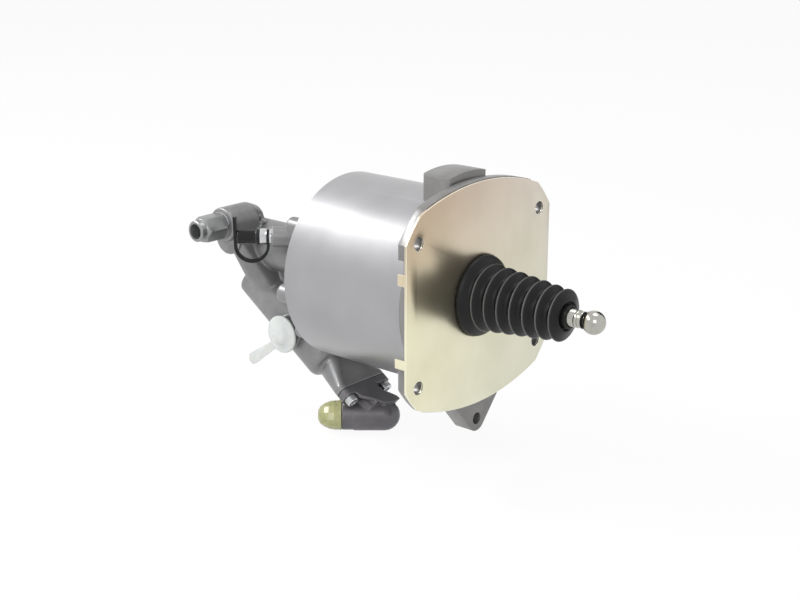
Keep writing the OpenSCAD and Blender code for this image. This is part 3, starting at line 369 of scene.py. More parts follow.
# Brass is turned from bar and left bare: warm yellow with a soft sheen.
brass = plain_metal("turned_brass", "#c4ab68", "#b49a58", 0.28, edge="#d2bb7c")
# Sintered bronze is pressed from powder and holds oil: brown, with open pores that dull it.
bronze = plain_metal("sintered_bronze", "#9a7a45", "#86683a", 0.5, metallic=0.8, bump=0.08)
print("metals:", len([m for m in bpy.data.materials if m.use_nodes]))

# %% [markdown]
# ## Rubber
# The bellows is moulded chloroprene: nearly black, with thin rims painted grey, partly as a painted
# highlight and partly for handling wear. The bleed screw's cap and strap are a smoother, shinier rubber.
# Under a white studio a black rubber soon looks grey, so its specular level is held low. The pits of
# the mould's skin are about 0.1 mm and are drawn at 0.3 to 0.5 mm, the bloom on the skin at 9 mm.


# %% Rubber
RUBBER_CLOUD = 9


def rubber(name, colour, shade, rubbed_and_highlit, roughness, shine=0.2, grain=0.5, bump=0.12):
    mat, bsdf = new_material(name, Roughness=roughness, Specular_IOR_Level=shine)
    where = add(mat, "TexCoord").outputs["Object"]
    cloud = add(mat, "TexNoise", {"Scale": per_mm(RUBBER_CLOUD), "Detail": 4.0}, {"Vector": where})
    tint = add(mat, "ValToRGB", links={"Fac": cloud.outputs["Fac"]},
               stops=[(0.3, hex_colour(shade)), (0.7, hex_colour(colour))])
    # Rims and edges take the lighter colour: partly wear, partly a painted highlight.
    rim = add(mat, "Attribute", {"attribute_name": "wear_and_highlight"})
    mixed = add(mat, "Mix", {"data_type": "RGBA", OVER: hex_colour(rubbed_and_highlit)},
                {SHARE: rim.outputs["Fac"], UNDER: tint.outputs["Color"]})
    skin = add(mat, "TexNoise", {"Scale": per_mm(grain), "Detail": 2.0}, {"Vector": where})
    pores = add(mat, "Bump", {"Strength": bump, "Distance": 0.1 * MM}, {"Height": skin.outputs["Fac"]})
    feed(mat, bsdf, {"Base Color": mixed.outputs[MIXED], "Normal": pores.outputs["Normal"]})
    return mat


# The bellows comes from a spark-eroded mould: a matt, faintly pitted skin; its rims are painted grey, partly
# wear and partly a painted highlight.
boot_rubber = rubber("moulded_chloroprene", "#19191a", "#121213", "#666766", 0.36, shine=0.24)
# Cap and strap come from a polished mould: blacker, with a narrow bright light.
cap_rubber = rubber("smooth_chloroprene", "#131314", "#0e0e0f", "#2e2e30", 0.26, shine=0.3, bump=0.05)
# Seals are oil-proof nitrile, ground to size: plain black with a soft light.
seal_rubber = rubber("nitrile_rubber", "#161617", "#101011", "#232324", 0.40, grain=0.3)
print(boot_rubber.name, cap_rubber.name, seal_rubber.name)

# %% [markdown]
# ## Plastics
# The exhaust port's plug is white polyethylene, and the air port's plug is a thin translucent one with
# a yellow-green tint. Light goes a few millimetres into polyethylene, and subsurface scattering gives
# that waxy look. The clear plug also lets some light straight through. Flow marks of the moulding
# are 1.5 mm wide, and the tint drifts over about 7 mm, as the wall's thickness does.


# %% Plastics
PLASTIC_CLOUD, FLOW_MARKS = 7, 1.5


def plastic(name, colour, shade, roughness, through=0.0, clear=0.0, bump=0.04):
    mat, bsdf = new_material(name, Roughness=roughness, IOR=1.51, Subsurface_Weight=through,
                             Subsurface_Radius=(0.004, 0.004, 0.002), Subsurface_Scale=0.6,
                             Transmission_Weight=clear)
    where = add(mat, "TexCoord").outputs["Object"]
    cloud = add(mat, "TexNoise", {"Scale": per_mm(PLASTIC_CLOUD), "Detail": 2.0}, {"Vector": where})
    tint = add(mat, "ValToRGB", links={"Fac": cloud.outputs["Fac"]},
               stops=[(0.3, hex_colour(shade)), (0.7, hex_colour(colour))])
    skin = add(mat, "TexNoise", {"Scale": per_mm(FLOW_MARKS), "Detail": 1.0}, {"Vector": where})
    flow = add(mat, "Bump", {"Strength": bump, "Distance": 0.1 * MM}, {"Height": skin.outputs["Fac"]})
    feed(mat, bsdf, {"Base Color": tint.outputs["Color"], "Normal": flow.outputs["Normal"]})
    return mat


# White polyethylene, injection moulded: waxy and soft-edged, with a clear small highlight.
white_pe = plastic("white_polyethylene", "#d2d5d3", "#c9ccca", 0.20, through=0.2)
# Unfilled polyethylene with a yellow dye: light passes, so its ribs show darker than its face.
yellow_pe = plastic("yellow_polyethylene", "#c9c998", "#b2b37e", 0.20, through=0.25, clear=0.35)
# The guide band is filled fluoropolymer, skived from a tube: a dull grey-green.
guide_band = plastic("filled_ptfe", "#3f4f48", "#37453f", 0.5)
# Gasket board is pressed fibre: matt, dark and slightly rough.
gasket_board = plastic("gasket_board", "#3f4245", "#35383b", 0.8, bump=0.12)
print("materials:", len(bpy.data.materials))

# %% [markdown]
# ## Hidden pieces keep their CAD shape
# Seals, the plunger, the power piston and the valve's inner pieces can't be seen, and the CAD gives
# their shape well. The model is also exported, though, so each still gets the finish of what it is
# made of. The record names a slot for each node, and a table turns a slot into a material.

# %% Finishes of the CAD nodes
finish_of_slot = {
    "satin_aluminium": cylinder_satin, "cast_aluminium": casting_grey, "dark_cast_aluminium": casting_dark,
    "yellow_zinc": plate_mat, "bright_zinc": bright_zinc, "polished_steel": polished_steel,
    "fitting_steel": fitting_zinc, "spring_steel": spring_steel, "bronze": bronze,
    "brass": brass, "boot_rubber": boot_rubber, "seal_rubber": seal_rubber, "gasket_board": gasket_board,
    "guide_plastic": guide_band, "white_plastic": white_pe, "clear_plastic": yellow_pe,
}
for part in frame["record"]["subparts"]:
    obj = nodes[part["node"]]
    obj.data.materials.clear()
    obj.data.materials.append(finish_of_slot[part["material_slot"]])
print("dressed", len(nodes), "nodes")

# %% [markdown]
# ## Copying a CAD solid
# A CAD node's mesh is loose triangles, one island for each face. A copy is merged first, so that its
# edges become real edges, and only then can a bevel round them. The loader's own normals would keep
# the old hard shading, so they are dropped.


# %% Copy helpers
MERGE_MM = 0.004


def copy_node(node, name):
    piece = bpy.data.objects.new(name, nodes[node].data.copy())
    bpy.context.scene.collection.objects.link(piece)
    piece.data.materials.clear()
    for attribute in list(piece.data.attributes):
        if attribute.name.startswith("custom_normal"):
            piece.data.attributes.remove(attribute)
    only(piece)
    bpy.ops.object.mode_set(mode="EDIT")
    bpy.ops.mesh.select_all(action="SELECT")
    bpy.ops.mesh.remove_doubles(threshold=MERGE_MM * MM)
    bpy.ops.object.mode_set(mode="OBJECT")
    return piece


def use(piece, kind, **settings):
    """Adds a modifier with its settings and applies it."""
    only(piece)
    modifier = piece.modifiers.new(kind.lower(), kind)
    for key, value in settings.items():
        setattr(modifier, key, value)
    bpy.ops.object.modifier_apply(modifier=modifier.name)


def smooth(piece, degrees=30):
    only(piece)
    bpy.ops.object.shade_smooth_by_angle(angle=math.radians(degrees))


print("copies are merged at", MERGE_MM, "mm")

# %% [markdown]
# ## Rounded edges
# No machined or stamped edge is perfectly sharp, and the thin light along it is what makes metal look
# real. A bevel modifier rounds every edge sharper than an angle. It can give its new strips a material
# of their own, and that is turned into the attribute named wear_and_highlight: 1 on the strips, 0 on
# the faces. The materials paint the strips lighter, partly for wear and partly as a painted highlight.


# %% Rounding helper
def rounded_copy(node, name, radius, segments=2, degrees=28):
    """The CAD shape with its edges rounded to a radius in millimetres."""
    piece = copy_node(node, name)
    only(piece)
    bpy.ops.object.mode_set(mode="EDIT")
    bpy.ops.mesh.select_all(action="SELECT")
    bpy.ops.mesh.dissolve_limited(angle_limit=math.radians(0.5))
    bpy.ops.object.mode_set(mode="OBJECT")
    for stand_in in ("flat_faces", "wear_and_highlight_strips"):
        piece.data.materials.append(bpy.data.materials.get(stand_in) or bpy.data.materials.new(stand_in))
    use(piece, "BEVEL", width=radius * MM, segments=segments, limit_method="ANGLE", material=1,
        angle_limit=math.radians(degrees), harden_normals=False, miter_outer="MITER_ARC")
    use(piece, "TRIANGULATE")
    # The strips marked here are painted lighter by the materials: partly wear, partly a painted highlight.
    wear_and_highlight = piece.data.attributes.new("wear_and_highlight", "FLOAT", "FACE")
    for face in piece.data.polygons:
        wear_and_highlight.data[face.index].value = face.material_index
        face.material_index = 0
    piece.data.materials.clear()
    smooth(piece)
    return piece


def keep(piece, node, material=None):
    """Puts a finished piece in the place of a CAD node."""
    only(piece)
    if material:
        piece.data.materials.clear()
        piece.data.materials.append(material)
    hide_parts(node)
    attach(piece, body_of_node[node])
    return piece


print("bodies:", len(set(body_of_node.values())))

# %% [markdown]
# ## The cylinder with its flange
# One casting holds the cylinder, the flange, the boss on top and the lug below. A remesh would melt it
# into one skin, as on the rear casting, but here the broad highlight would show every dent. So the
# turned skin is kept true, and only its edges are rounded. The lathe reaches the barrel alone, so
# whatever stands outside its radius or in front of its end keeps the duller cast finish.

# %% Cylinder
TURNED_R, TURNED_END = 62.3, -8.5
cylinder = rounded_copy("cylinder_housing", "cylinder_casting", 0.7)
cylinder.data.materials.append(cylinder_satin)
cylinder.data.materials.append(casting_flange)
for face in cylinder.data.polygons:
    middle = face.center
    outside_lathe = math.hypot(middle.y, middle.z) > TURNED_R * MM or middle.x > TURNED_END * MM
    face.material_index = 1 if outside_lathe else 0
keep(cylinder, "cylinder_housing")
print("cylinder faces:", len(cylinder.data.polygons),
      "cast:", sum(face.material_index for face in cylinder.data.polygons))

# %% [markdown]
# ## The cover plate
# A stamped sheet of 1.5 mm, with its tabs bent back beside the flange. It could be cut from a plane and
# thickened, but the CAD solid already has the outline, the holes and the collar, so it is copied.
# The stamping die draws the edge of the face a little round, and that is the bevel's radius.

# %% Cover plate
cover = rounded_copy("cover_plate", "cover_sheet", 0.55)
keep(cover, "cover_plate", plate_mat)
print("cover faces:", len(cover.data.polygons))

# %% [markdown]
# ## Skin of a casting
# Cast forms run into each other with fillets, as the mould gives them, and no bevel can make those
# where many forms meet. Voxel remeshing melts the CAD forms together, and smoothing turns the inner
# corners into fillets. Corners that stand out are rubbed, and they also carry a painted highlight.
# They are found by the mesh itself: where it turns a convex corner, the neighbours of a point fall away
# from its normal.


# %% Casting helpers
CORNER_MARK_FROM, CORNER_MARK_FULL = 0.10, 0.26


def mark_wear_and_highlight(piece):
    mesh = piece.data
    fall = [0.0] * len(mesh.vertices)
    ties = [0] * len(mesh.vertices)
    for edge in mesh.edges:
        a, b = (mesh.vertices[i] for i in edge.vertices)
        along = (b.co - a.co).normalized()
        fall[a.index] -= a.normal.dot(along)
        fall[b.index] += b.normal.dot(along)
        ties[a.index] += 1
        ties[b.index] += 1
    # Convex corners get a lighter paint: partly wear, partly a painted highlight.
    wear_and_highlight = mesh.attributes.new("wear_and_highlight", "FLOAT", "POINT")
    for i, total in enumerate(fall):
        share = (total / max(ties[i], 1) - CORNER_MARK_FROM) / (CORNER_MARK_FULL - CORNER_MARK_FROM)
        wear_and_highlight.data[i].value = min(1.0, max(0.0, share))


def cast_copy(node, name, grain, rounds):
    """The CAD shape remeshed at a grain in millimetres and smoothed for a number of rounds."""
    piece = copy_node(node, name)
    piece.data.remesh_voxel_size = grain * MM
    piece.data.remesh_voxel_adaptivity = 0
    only(piece)
    bpy.ops.object.voxel_remesh()
    use(piece, "SMOOTH", factor=0.5, iterations=rounds)
    bpy.ops.object.shade_smooth()
    mark_wear_and_highlight(piece)
    return piece


def pick(piece, test):
    """Selects the vertices whose place passes the test, and leaves the piece in edit mode."""
    only(piece)
    bpy.ops.object.mode_set(mode="EDIT")
    bpy.context.tool_settings.mesh_select_mode = (True, False, False)
    bpy.ops.mesh.select_all(action="DESELECT")
    bpy.ops.object.mode_set(mode="OBJECT")
    count = 0
    for v in piece.data.vertices:
        v.select = bool(test(v.co))
        count += v.select
    bpy.ops.object.mode_set(mode="EDIT")
    return count


print("corners are worn from", CORNER_MARK_FROM, "to", CORNER_MARK_FULL)

# %% [markdown]
# ## The rear casting
# Neck, inlet barrel, valve barrel and screw ears are one casting. Between the upper ear and the neck
# the remesh leaves a pit that the mould would have filled, so the points round it are melted further.

# %% Rear casting
CROOK, CROOK_R, CROOK_ROUNDS = Vector((-190.3, -4.8, 17.5)) * MM, 5.5 * MM, 80
rear = cast_copy("rear_housing", "rear_casting", 0.9, 5)
soft = pick(rear, lambda co: (co - CROOK).length < CROOK_R)
bpy.ops.mesh.vertices_smooth(factor=0.7, repeat=CROOK_ROUNDS)
bpy.ops.object.mode_set(mode="OBJECT")
print("points melted where the ear meets the neck:", soft)

# %% [markdown]
# The remeshed bores have lost a few tenths of a millimetre, and the spool slides in them with less
# clearance than that. So the walls near the valve's axis, which is tilted 35 degrees down towards the
# front, are pushed back into the metal. Drilling with a Boolean would leave sliver faces instead.

# %% Valve bores
VALVE_TILT = math.radians(35)
VALVE = Vector((math.cos(VALVE_TILT), 0, -math.sin(VALVE_TILT)))
BORE_REACH, GIVE_BACK = 9.9 * MM, 0.7 * MM
spool_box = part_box("spool_spring")
valve_mid = (Vector(spool_box[0]) + Vector(spool_box[1])) / 2


def off_valve_axis(co):
    arm = co - valve_mid
    return (arm - VALVE * arm.dot(VALVE)).length


bores = pick(rear, lambda co: off_valve_axis(co) < BORE_REACH)
bpy.ops.transform.shrink_fatten(value=-GIVE_BACK)
bpy.ops.object.mode_set(mode="OBJECT")
keep(rear, "rear_housing", casting_grey)
print("bore points:", bores, "faces:", len(rear.data.polygons))

# %% [markdown]
# ## The elbow
# The elbow that takes the air supply is a small casting of its own, screwed on through two ears. It is
# made as the rear casting is, at a finer grain, because its walls are thinner.

# %% Elbow
elbow = cast_copy("air_inlet_housing", "air_inlet_elbow", 0.6, 4)
keep(elbow, "air_inlet_housing", casting_dark)
print("elbow faces:", len(elbow.data.polygons))

# %% [markdown]
# ## Screws and fitting
# These are machined from bar, or rolled, and plated. The CAD has their hexagons, sockets and steps, so
# they are copied, and their edges get a small true radius in millimetres and nothing else.

# %% Machined pieces
for node, name, radius in (
    ("rear_screws", "rear_cap_screws", 0.25),
    ("air_inlet_screws", "elbow_cap_screws", 0.22),
    ("inlet_fitting", "pipe_fitting", 0.35),
    ("fitting_washer", "sealing_washer", 0.15),
    ("bleed_screw", "bleed_nipple_screw", 0.2),
):
    piece = rounded_copy(node, name, radius)
    keep(piece, node, nodes[node].data.materials[0])
    print(name, len(piece.data.polygons))

# %% [markdown]
# ## Turned pieces
# Rod, ring and bellows are turned shapes. Primitives could be stacked for them, but then no profile
# would run through. Instead a single vertex is pulled along the profile with extrude, and the line is
# spun round an axis, just as a lathe does. Each is turned upright at the origin and then laid along X.


# %% Lathe helper
SEAM_MM = 0.002
ALONG_X = Matrix.Rotation(math.radians(90), 4, "Y")


def turned(name, profile, steps):
    """profile: (radius, height) pairs in millimetres round local Z."""
    bpy.ops.object.select_all(action="DESELECT")
    bpy.ops.mesh.primitive_plane_add(size=1 * MM, location=(0, 0, 0))
    piece = bpy.context.object
    piece.name = name
    bpy.ops.object.mode_set(mode="EDIT")
    bpy.ops.mesh.select_all(action="SELECT")
    bpy.ops.mesh.merge(type="CENTER")
    bpy.ops.mesh.select_all(action="SELECT")
    bpy.ops.transform.translate(value=(profile[0][0] * MM, 0, profile[0][1] * MM))
    for a, b in zip(profile, profile[1:]):
        step = ((b[0] - a[0]) * MM, 0, (b[1] - a[1]) * MM)
        bpy.ops.mesh.extrude_region_move(TRANSFORM_OT_translate={"value": step})
    bpy.ops.mesh.select_all(action="SELECT")
    bpy.ops.mesh.spin(steps=steps, angle=2 * math.pi, center=(0, 0, 0), axis=(0, 0, 1))
    bpy.ops.mesh.select_all(action="SELECT")
    bpy.ops.mesh.remove_doubles(threshold=SEAM_MM * MM)
    bpy.ops.mesh.normals_make_consistent(inside=False)
    bpy.ops.object.mode_set(mode="OBJECT")
    return piece


def lay(piece, matrix):
    """Moves a piece modelled at the origin to its place, and leaves its object at the origin."""
    only(piece)
    piece.matrix_world = matrix
    bpy.ops.object.transform_apply(location=True, rotation=True, scale=True)
    return piece


print("seams are closed at", SEAM_MM, "mm")

# %% [markdown]
# ## The ball rod
# The rod is turned from one bar: a round foot that sits in the piston's cup, a plain shank, two narrow
# collars, a groove with a thin rubber ring, and the ball. A lathe profile gives all of it at once.

# %% Ball rod
BALL_X, BALL_R, ROD_R, FOOT_R, UNDER_BALL_R = 84.0, 7.3, 5.5, 6.5, 4.7
FOOT_STEPS, BALL_STEPS = 12, 24
foot_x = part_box("pushrod")[0][0] / MM
ball_low = BALL_X - math.sqrt(BALL_R ** 2 - UNDER_BALL_R ** 2)
foot = [(0.0, foot_x)]
for step in range(1, FOOT_STEPS + 1):
    a = math.radians(90 * step / FOOT_STEPS)
    foot.append((FOOT_R * math.sin(a), foot_x + FOOT_R - FOOT_R * math.cos(a)))
shank = [(FOOT_R, foot_x + FOOT_R + 2.0), (ROD_R, foot_x + FOOT_R + 2.6), (ROD_R, 71.7)]
collars = [(5.3, 72.0), (5.2, 72.3), (5.45, 72.7), (5.45, 73.9), (5.2, 74.4), (4.75, 74.6), (4.75, 75.0),
           (5.15, 75.3), (5.2, 75.6), (5.2, 76.9), (5.05, 77.2)]
groove = [(4.2, 77.3), (4.2, 78.2), (4.6, ball_low - 0.1)]
ball = []
start = math.asin(UNDER_BALL_R / BALL_R)
for step in range(BALL_STEPS + 1):
    a = start + (math.pi - start) * step / BALL_STEPS
    ball.append((BALL_R * math.sin(a) if step < BALL_STEPS else 0.0, BALL_X - BALL_R * math.cos(a)))
rod = turned("ball_pushrod", foot + shank + collars + groove + ball, steps=80)
lay(rod, ALONG_X)
smooth(rod, 40)
keep(rod, "pushrod", polished_steel)
print("rod from", round(foot_x, 1), "to", round(BALL_X + BALL_R, 1), "mm")

# %% [markdown]
# ## The ring below the ball
# A thin rubber ring lies in the rod's last groove. A torus has a round section, and this one is
# squeezed flatter by its groove, so an oval of twelve points is spun instead.

# %% Rubber ring
RING_X, RING_R, RING_HIGH, RING_WIDE, OVAL_POINTS = 77.75, 4.75, 0.55, 0.42, 12
ring_profile = []
for i in range(OVAL_POINTS + 1):
    a = math.radians(360 / OVAL_POINTS * i)
    ring_profile.append((RING_R + RING_HIGH * math.cos(a), RING_X + RING_WIDE * math.sin(a)))
rod_ring = turned("thin_rod_ring", ring_profile, steps=64)
lay(rod_ring, ALONG_X)
smooth(rod_ring, 60)
keep(rod_ring, "rod_ring", seal_rubber)
print("ring faces:", len(rod_ring.data.polygons))

# %% [markdown]
# ## The bellows
# Seven folds on a cone, each a thin rim with two soft flanks. Rings could be stacked and joined, but
# one profile keeps the wall's thickness in hand: it goes out along the outside, turns in at the neck
# and comes back along the inside. The first ring sits on the cover, the last one grips the rod.

# %% Profile of the bellows
RIMS = 7
RIM_X, RIM_PITCH, RIM_FIRST, RIM_LAST = 8.5, 9.0, 21.5, 16.3
NECK_END, NECK_R, WALL, FOLD_DEPTH = 68.6, 5.55, 1.5, 4.4


def rim_radius(i):
    return RIM_FIRST + (RIM_LAST - RIM_FIRST) * i / (RIMS - 1)


outside = [(26.0, 0.0), (26.1, 1.6), (25.2, 3.2), (22.0, 4.9), (20.2, 6.2)]
for i in range(RIMS):
    x, r = RIM_X + i * RIM_PITCH, rim_radius(i)
    outside += [(r - 0.9, x - 1.0), (r - 0.15, x - 0.35), (r, x), (r - 0.15, x + 0.35)]
    if i < RIMS - 1:
        valley = (r + rim_radius(i + 1)) / 2 - FOLD_DEPTH
        outside += [(r - 1.1, x + 1.1), (valley + 1.2, x + 3.0), (valley + 0.2, x + 4.1),
                    (valley, x + 4.7), (valley + 0.4, x + 5.5), (valley + 1.6, x + 6.5)]
outside += [(14.2, 63.5), (11.4, 64.9), (9.9, 65.6), (9.2, 65.7), (8.9, 65.2), (8.5, 64.3), (7.9, 64.0),
            (7.5, 64.6), (7.4, 65.8), (7.4, NECK_END - 0.5), (7.1, NECK_END - 0.1), (6.6, NECK_END)]
inside = [(NECK_R, NECK_END), (NECK_R, 62.2)]
for i in reversed(range(RIMS)):
    x, r = RIM_X + i * RIM_PITCH, rim_radius(i)
    inside += [(r - 2.2, x)]
    if i:
        inside += [((r + rim_radius(i - 1)) / 2 - FOLD_DEPTH - WALL, x - 4.4)]
inside += [(17.7, 3.4), (20.7, 3.4), (20.7, 0.0), (26.0, 0.0)]
print("profile points:", len(outside), "outside,", len(inside), "inside")

# %% [markdown]
# The profile is spun and subdivided once, which rounds the folds as moulding does.

# %% Bellows
boot = turned("folding_boot", outside + inside, steps=112)
use(boot, "SUBSURF", levels=1, render_levels=1, subdivision_type="CATMULL_CLARK")
lay(boot, ALONG_X)
smooth(boot, 60)
boot.data.materials.clear()
boot.data.materials.append(boot_rubber)
print("bellows faces:", len(boot.data.polygons))

# %% [markdown]
# The grey rims, partly wear and partly a painted highlight, are a vertex attribute, so that they stay
# on the rims when the bellows stretches. It is full within a tenth of a millimetre of each rim and falls
# to nothing half a millimetre below it.

# %% Rims with wear and painted highlight
RIM_HALF, RIM_MARK_DEPTH, RIM_MARK_FADE = 0.8, 0.55, 0.45
# The rims are painted grey here: partly wear, partly a painted highlight.
rim_wear_and_highlight = boot.data.attributes.new("wear_and_highlight", "FLOAT", "POINT")
for vertex in boot.data.vertices:
    x, r = vertex.co.x / MM, math.hypot(vertex.co.y, vertex.co.z) / MM
    i = round((x - RIM_X) / RIM_PITCH)
    if 0 <= i < RIMS and abs(x - RIM_X - i * RIM_PITCH) < RIM_HALF:
        share = (r - rim_radius(i) + RIM_MARK_DEPTH) / RIM_MARK_FADE
        rim_wear_and_highlight.data[vertex.index].value = min(1.0, max(0.0, share))
print("rubbed points:", sum(d.value > 0.5 for d in rim_wear_and_highlight.data))

# %% [markdown]
# ## Cap and strap of the bleed screw
# A moulded cap keeps dirt out of the bleed nipple, and a flat strap holds it captive. Both are copied
# with small radii, because the CAD has the strap's bend. The strap's free end carries a small knob to
# pull it by, and that is made by spreading the strap's last millimetre.

# %% Cap and strap
KNOB_H, KNOB_SPREAD = 1.2 * MM, 1.35
cap = rounded_copy("bleeder_cap", "bleed_cap", 0.4)
keep(cap, "bleeder_cap", cap_rubber)
strap = rounded_copy("cap_strap", "captive_strap", 0.25)
strap_top = max(v.co.z for v in strap.data.vertices)
knob = pick(strap, lambda co: co.z > strap_top - KNOB_H)
bpy.ops.transform.resize(value=(KNOB_SPREAD, KNOB_SPREAD, 1))
bpy.ops.object.mode_set(mode="OBJECT")
strap.data.materials.clear()
strap.data.materials.append(cap_rubber)
print("strap faces:", len(strap.data.polygons), "knob points:", knob)

# %% [markdown]
# ## Transport plugs
# Both plugs are thin polyethylene mouldings. Small radii catch the light and show how soft they are.
# The exhaust plug's tongue is wider than its solid. To spread it along its own width, the plug is laid
# upright at the origin first, with a matrix built from the exhaust port's axes, and then laid back.


# %% Frame of the exhaust plug
def place(origin, x_axis, z_axis):
    m = Matrix((x_axis, z_axis.cross(x_axis), z_axis)).transposed().to_4x4()
    m.translation = origin
    return m


TONGUE_TURN = math.radians(-20)
ACROSS_VALVE = Vector((-math.sin(VALVE_TILT), 0, -math.cos(VALVE_TILT)))
SIDEWAYS = Vector((0, -1, 0))
mounts = {mount["name"]: mount for mount in frame["record"]["mounts"]}
exhaust_frame = place(Vector(mounts["exhaust_port"]["pos_m"]), ACROSS_VALVE, SIDEWAYS)
along_tongue = exhaust_frame @ Matrix.Rotation(TONGUE_TURN, 4, "Z")
print("exhaust port at", [round(c, 4) for c in exhaust_frame.translation])

# %% [markdown]
# The yellow plug is a faceted moulding with thin ribs, so its bevel is small and its shading sharp.

# %% Plugs
TONGUE_START, TONGUE_MIDDLE, TONGUE_SPREAD = 14.5 * MM, (0.03, 2.9 * MM, 0), 1.45
white_plug = rounded_copy("exhaust_plug", "exhaust_stopper", 0.3)
lay(white_plug, along_tongue.inverted())
tongue = pick(white_plug, lambda co: co.x > TONGUE_START)
bpy.ops.transform.resize(value=(1, TONGUE_SPREAD, 1), center_override=TONGUE_MIDDLE)
bpy.ops.object.mode_set(mode="OBJECT")
lay(white_plug, along_tongue)
keep(white_plug, "exhaust_plug", white_pe)
yellow_plug = rounded_copy("inlet_plug", "inlet_stopper", 0.15, segments=1, degrees=12)
smooth(yellow_plug, 8)
keep(yellow_plug, "inlet_plug", yellow_pe)
print("tongue points:", tongue, "plug faces:", len(white_plug.data.polygons), len(yellow_plug.data.polygons))

# %% [markdown]
# ## Springs
# Each spring has one end on the casting and one on what it pushes, so it has to be squeezed between
# them. A coil could be swept along a helix, but the CAD has done that at the right size. A copy of it
# is shaded smooth here and bent with its joint further down.


# %% Springs
def spring_copy(node, name):
    coil = copy_node(node, name)
    smooth(coil, 50)
    coil.data.materials.append(spring_steel)
    return coil


big_spring = spring_copy("return_spring", "piston_spring")
valve_spring = spring_copy("spool_spring", "spool_coil")
seat_spring = spring_copy("poppet_spring", "poppet_coil")
print("coils:", [len(s.data.polygons) for s in (big_spring, valve_spring, seat_spring)])

# %% [markdown]
# ## Floor and surroundings
# The photograph has a plain white ground. Strong lamps could bleach the floor, but they would bleach
# the metal too. So floor and world are white only to the camera, to reflections and through clear
# plastic, and the light that falls on the object is kept lower. The floor glows by a share that leaves
# a little of its own shading, and with that the object's shadow.

# %% Floor
FLOOR_GAP, GLOW_SHARE = 0.5 * MM, 0.88
scene = bpy.context.scene
scene.view_settings.view_transform = "Standard"
low = min(p[2] for p in cad_box)
bpy.ops.object.select_all(action="DESELECT")
bpy.ops.mesh.primitive_plane_add(size=8, location=(0, 0, low - FLOOR_GAP))
floor = bpy.context.object
floor.name = "studio_floor"
floor_mat, floor_bsdf = new_material("white_floor", Roughness=0.9, Specular_IOR_Level=0.0)
floor_bsdf.inputs["Base Color"].default_value = hex_colour("#d8d8d8")
path = add(floor_mat, "LightPath")
either = add(floor_mat, "Math", {"operation": "MAXIMUM"},
             {0: path.outputs["Is Camera Ray"], 1: path.outputs["Is Glossy Ray"]})
either = add(floor_mat, "Math", {"operation": "MAXIMUM"},
             {0: either.outputs[0], 1: path.outputs["Is Transmission Ray"]})
share = add(floor_mat, "Math", {"operation": "MULTIPLY", 1: GLOW_SHARE}, {0: either.outputs[0]})
glow = add(floor_mat, "Emission", {"Color": grey(1), "Strength": 1.05})
mixed_floor = add(floor_mat, "MixShader",
                  links={0: share.outputs[0], 1: floor_bsdf.outputs[0], 2: glow.outputs[0]})
feed(floor_mat, floor_mat.node_tree.nodes["Material Output"], {"Surface": mixed_floor.outputs[0]})
floor.data.materials.append(floor_mat)
print("floor at", round(low, 4))

# %% [markdown]
# The world does the same: a strength of 1 is white, and the object is lit by about a third of it.

# %% World
DIM, WHITE = 0.34, 1.0
world = scene.world or bpy.data.worlds.new("studio")
scene.world = world
world.use_nodes = True
world.node_tree.nodes.clear()
rays = add(world, "LightPath")
seen = add(world, "Math", {"operation": "MAXIMUM"},
           {0: rays.outputs["Is Camera Ray"], 1: rays.outputs["Is Glossy Ray"]})
seen = add(world, "Math", {"operation": "MAXIMUM"},
           {0: seen.outputs[0], 1: rays.outputs["Is Transmission Ray"]})
dim = add(world, "Background", {"Color": grey(1), "Strength": DIM})
white = add(world, "Background", {"Color": grey(1), "Strength": WHITE})
choose = add(world, "MixShader", links={0: seen.outputs[0], 1: dim.outputs[0], 2: white.outputs[0]})
add(world, "OutputWorld", links={"Surface": choose.outputs[0]})
print("world nodes:", len(world.node_tree.nodes))

# %% [markdown]
# ## A dark card
# A dark card stands behind the object on the right, as photographers put one there to draw the edge of
# bright metal. Only reflections see it: the ball's outline and the rod's far side darken.

# %% Card
CARD_W, CARD_H, CARD_MIDDLE = 0.55, 1.0, (-0.05, 1.0, 0.35)
bpy.ops.object.select_all(action="DESELECT")
bpy.ops.mesh.primitive_plane_add(size=1, location=CARD_MIDDLE, rotation=(math.radians(90), 0, 0))
card = bpy.context.object
card.name = "studio_card"
card.scale = (CARD_W, CARD_H, 1.0)
bpy.ops.object.transform_apply(location=False, rotation=True, scale=True)
card_mat, card_bsdf = new_material("black_card", Roughness=0.9)
card_bsdf.inputs["Base Color"].default_value = hex_colour("#2c2c2c")
card.data.materials.append(card_mat)
card.visible_camera = card.visible_diffuse = card.visible_shadow = card.visible_transmission = False
print("card:", [round(d, 2) for d in card.dimensions])

# %% [markdown]
# ## Lamps
# Four soft boxes: a long narrow key high on the left draws the bright band along the cylinder, two
# weak ones even out the front and the top, and a low one opens the shadows under the castings. That
# one would show as a patch on the metal, so reflections don't see it.


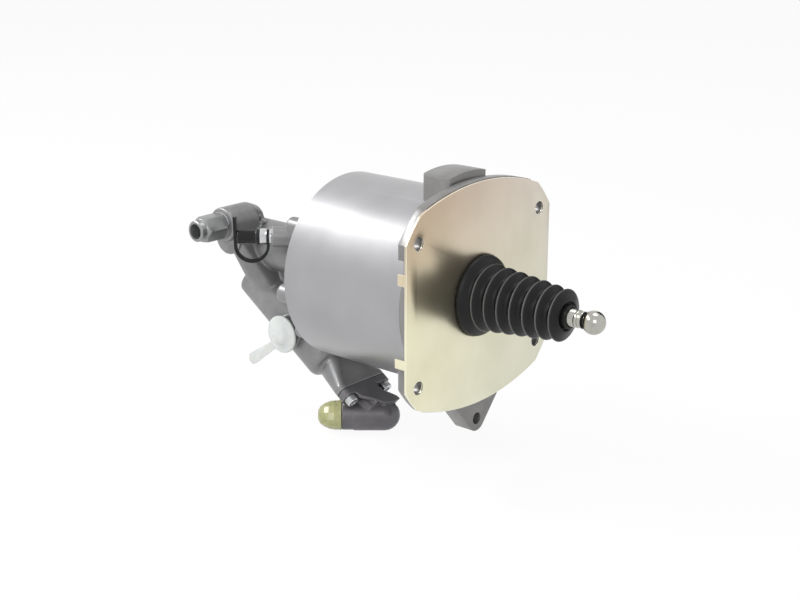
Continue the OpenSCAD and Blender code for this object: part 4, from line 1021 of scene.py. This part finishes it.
# %% Lamps
def lamp(name, place_at, aim, size, watts, size_y=None, mirrored=True):
    data = bpy.data.lights.new(name, "AREA")
    data.energy = watts
    data.shape = "RECTANGLE"
    data.size = size
    data.size_y = size_y or size
    obj = bpy.data.objects.new(name, data)
    obj.location = place_at
    obj.rotation_euler = (Vector(aim) - Vector(place_at)).to_track_quat("-Z", "Y").to_euler()
    obj.visible_glossy = mirrored
    scene.collection.objects.link(obj)
    return obj


lamp("key", (-1.12, -0.78, 1.23), (-0.06, -0.03, 0.03), 1.44, 24, size_y=0.25)
lamp("front", (0.9, -0.9, 0.7), (0, 0, 0), 0.6, 3)
lamp("fill", (0.15, -1.3, -0.02), (-0.12, 0, -0.03), 0.5, 9, mirrored=False)
lamp("top", (0.1, 0.3, 1.2), (0, 0, 0), 0.6, 3)

# %% [markdown]
# ## What moves with what
# The bellows crosses the piston's joint: its base stays on the cover and its neck follows the rod.
# The springs and the cap's strap cross their joints in the same way. Bones or shape keys could do it,
# but a blend between two bodies is all that a stretch along one line needs. The last millimetre and a
# half at each end stays stiff, where the piece is gripped.


# %% Joints
GRIP, STRAP_GRIP = 1.5 * MM, 1.9 * MM
PORT_TURN = math.radians(41)
OUT = Vector((-math.cos(PORT_TURN), -math.sin(PORT_TURN), 0))


def across_joint(piece, node, a, b, start, end):
    """The piece follows body a before start and body b after end."""
    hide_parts(node)
    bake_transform(piece, a, b, start=tuple(start), end=tuple(end))


def reach(piece, axis):
    along = [axis.dot(v.co) for v in piece.data.vertices]
    return min(along), max(along)


across_joint(boot, "bellows", "housing", "piston", (0.004, 0, 0), (0.0655, 0, 0))
for coil, node, axis, body in ((big_spring, "return_spring", Vector((1, 0, 0)), "piston"),
                               (valve_spring, "spool_spring", VALVE, "valve_spool"),
                               (seat_spring, "poppet_spring", VALVE, "valve_poppet")):
    near, far = reach(coil, axis)
    across_joint(coil, node, body, "housing", axis * (near + GRIP), axis * (far - GRIP))
near, far = reach(strap, OUT)
across_joint(strap, "cap_strap", "housing", "bleeder_cap", OUT * (near + GRIP), OUT * (far - STRAP_GRIP))
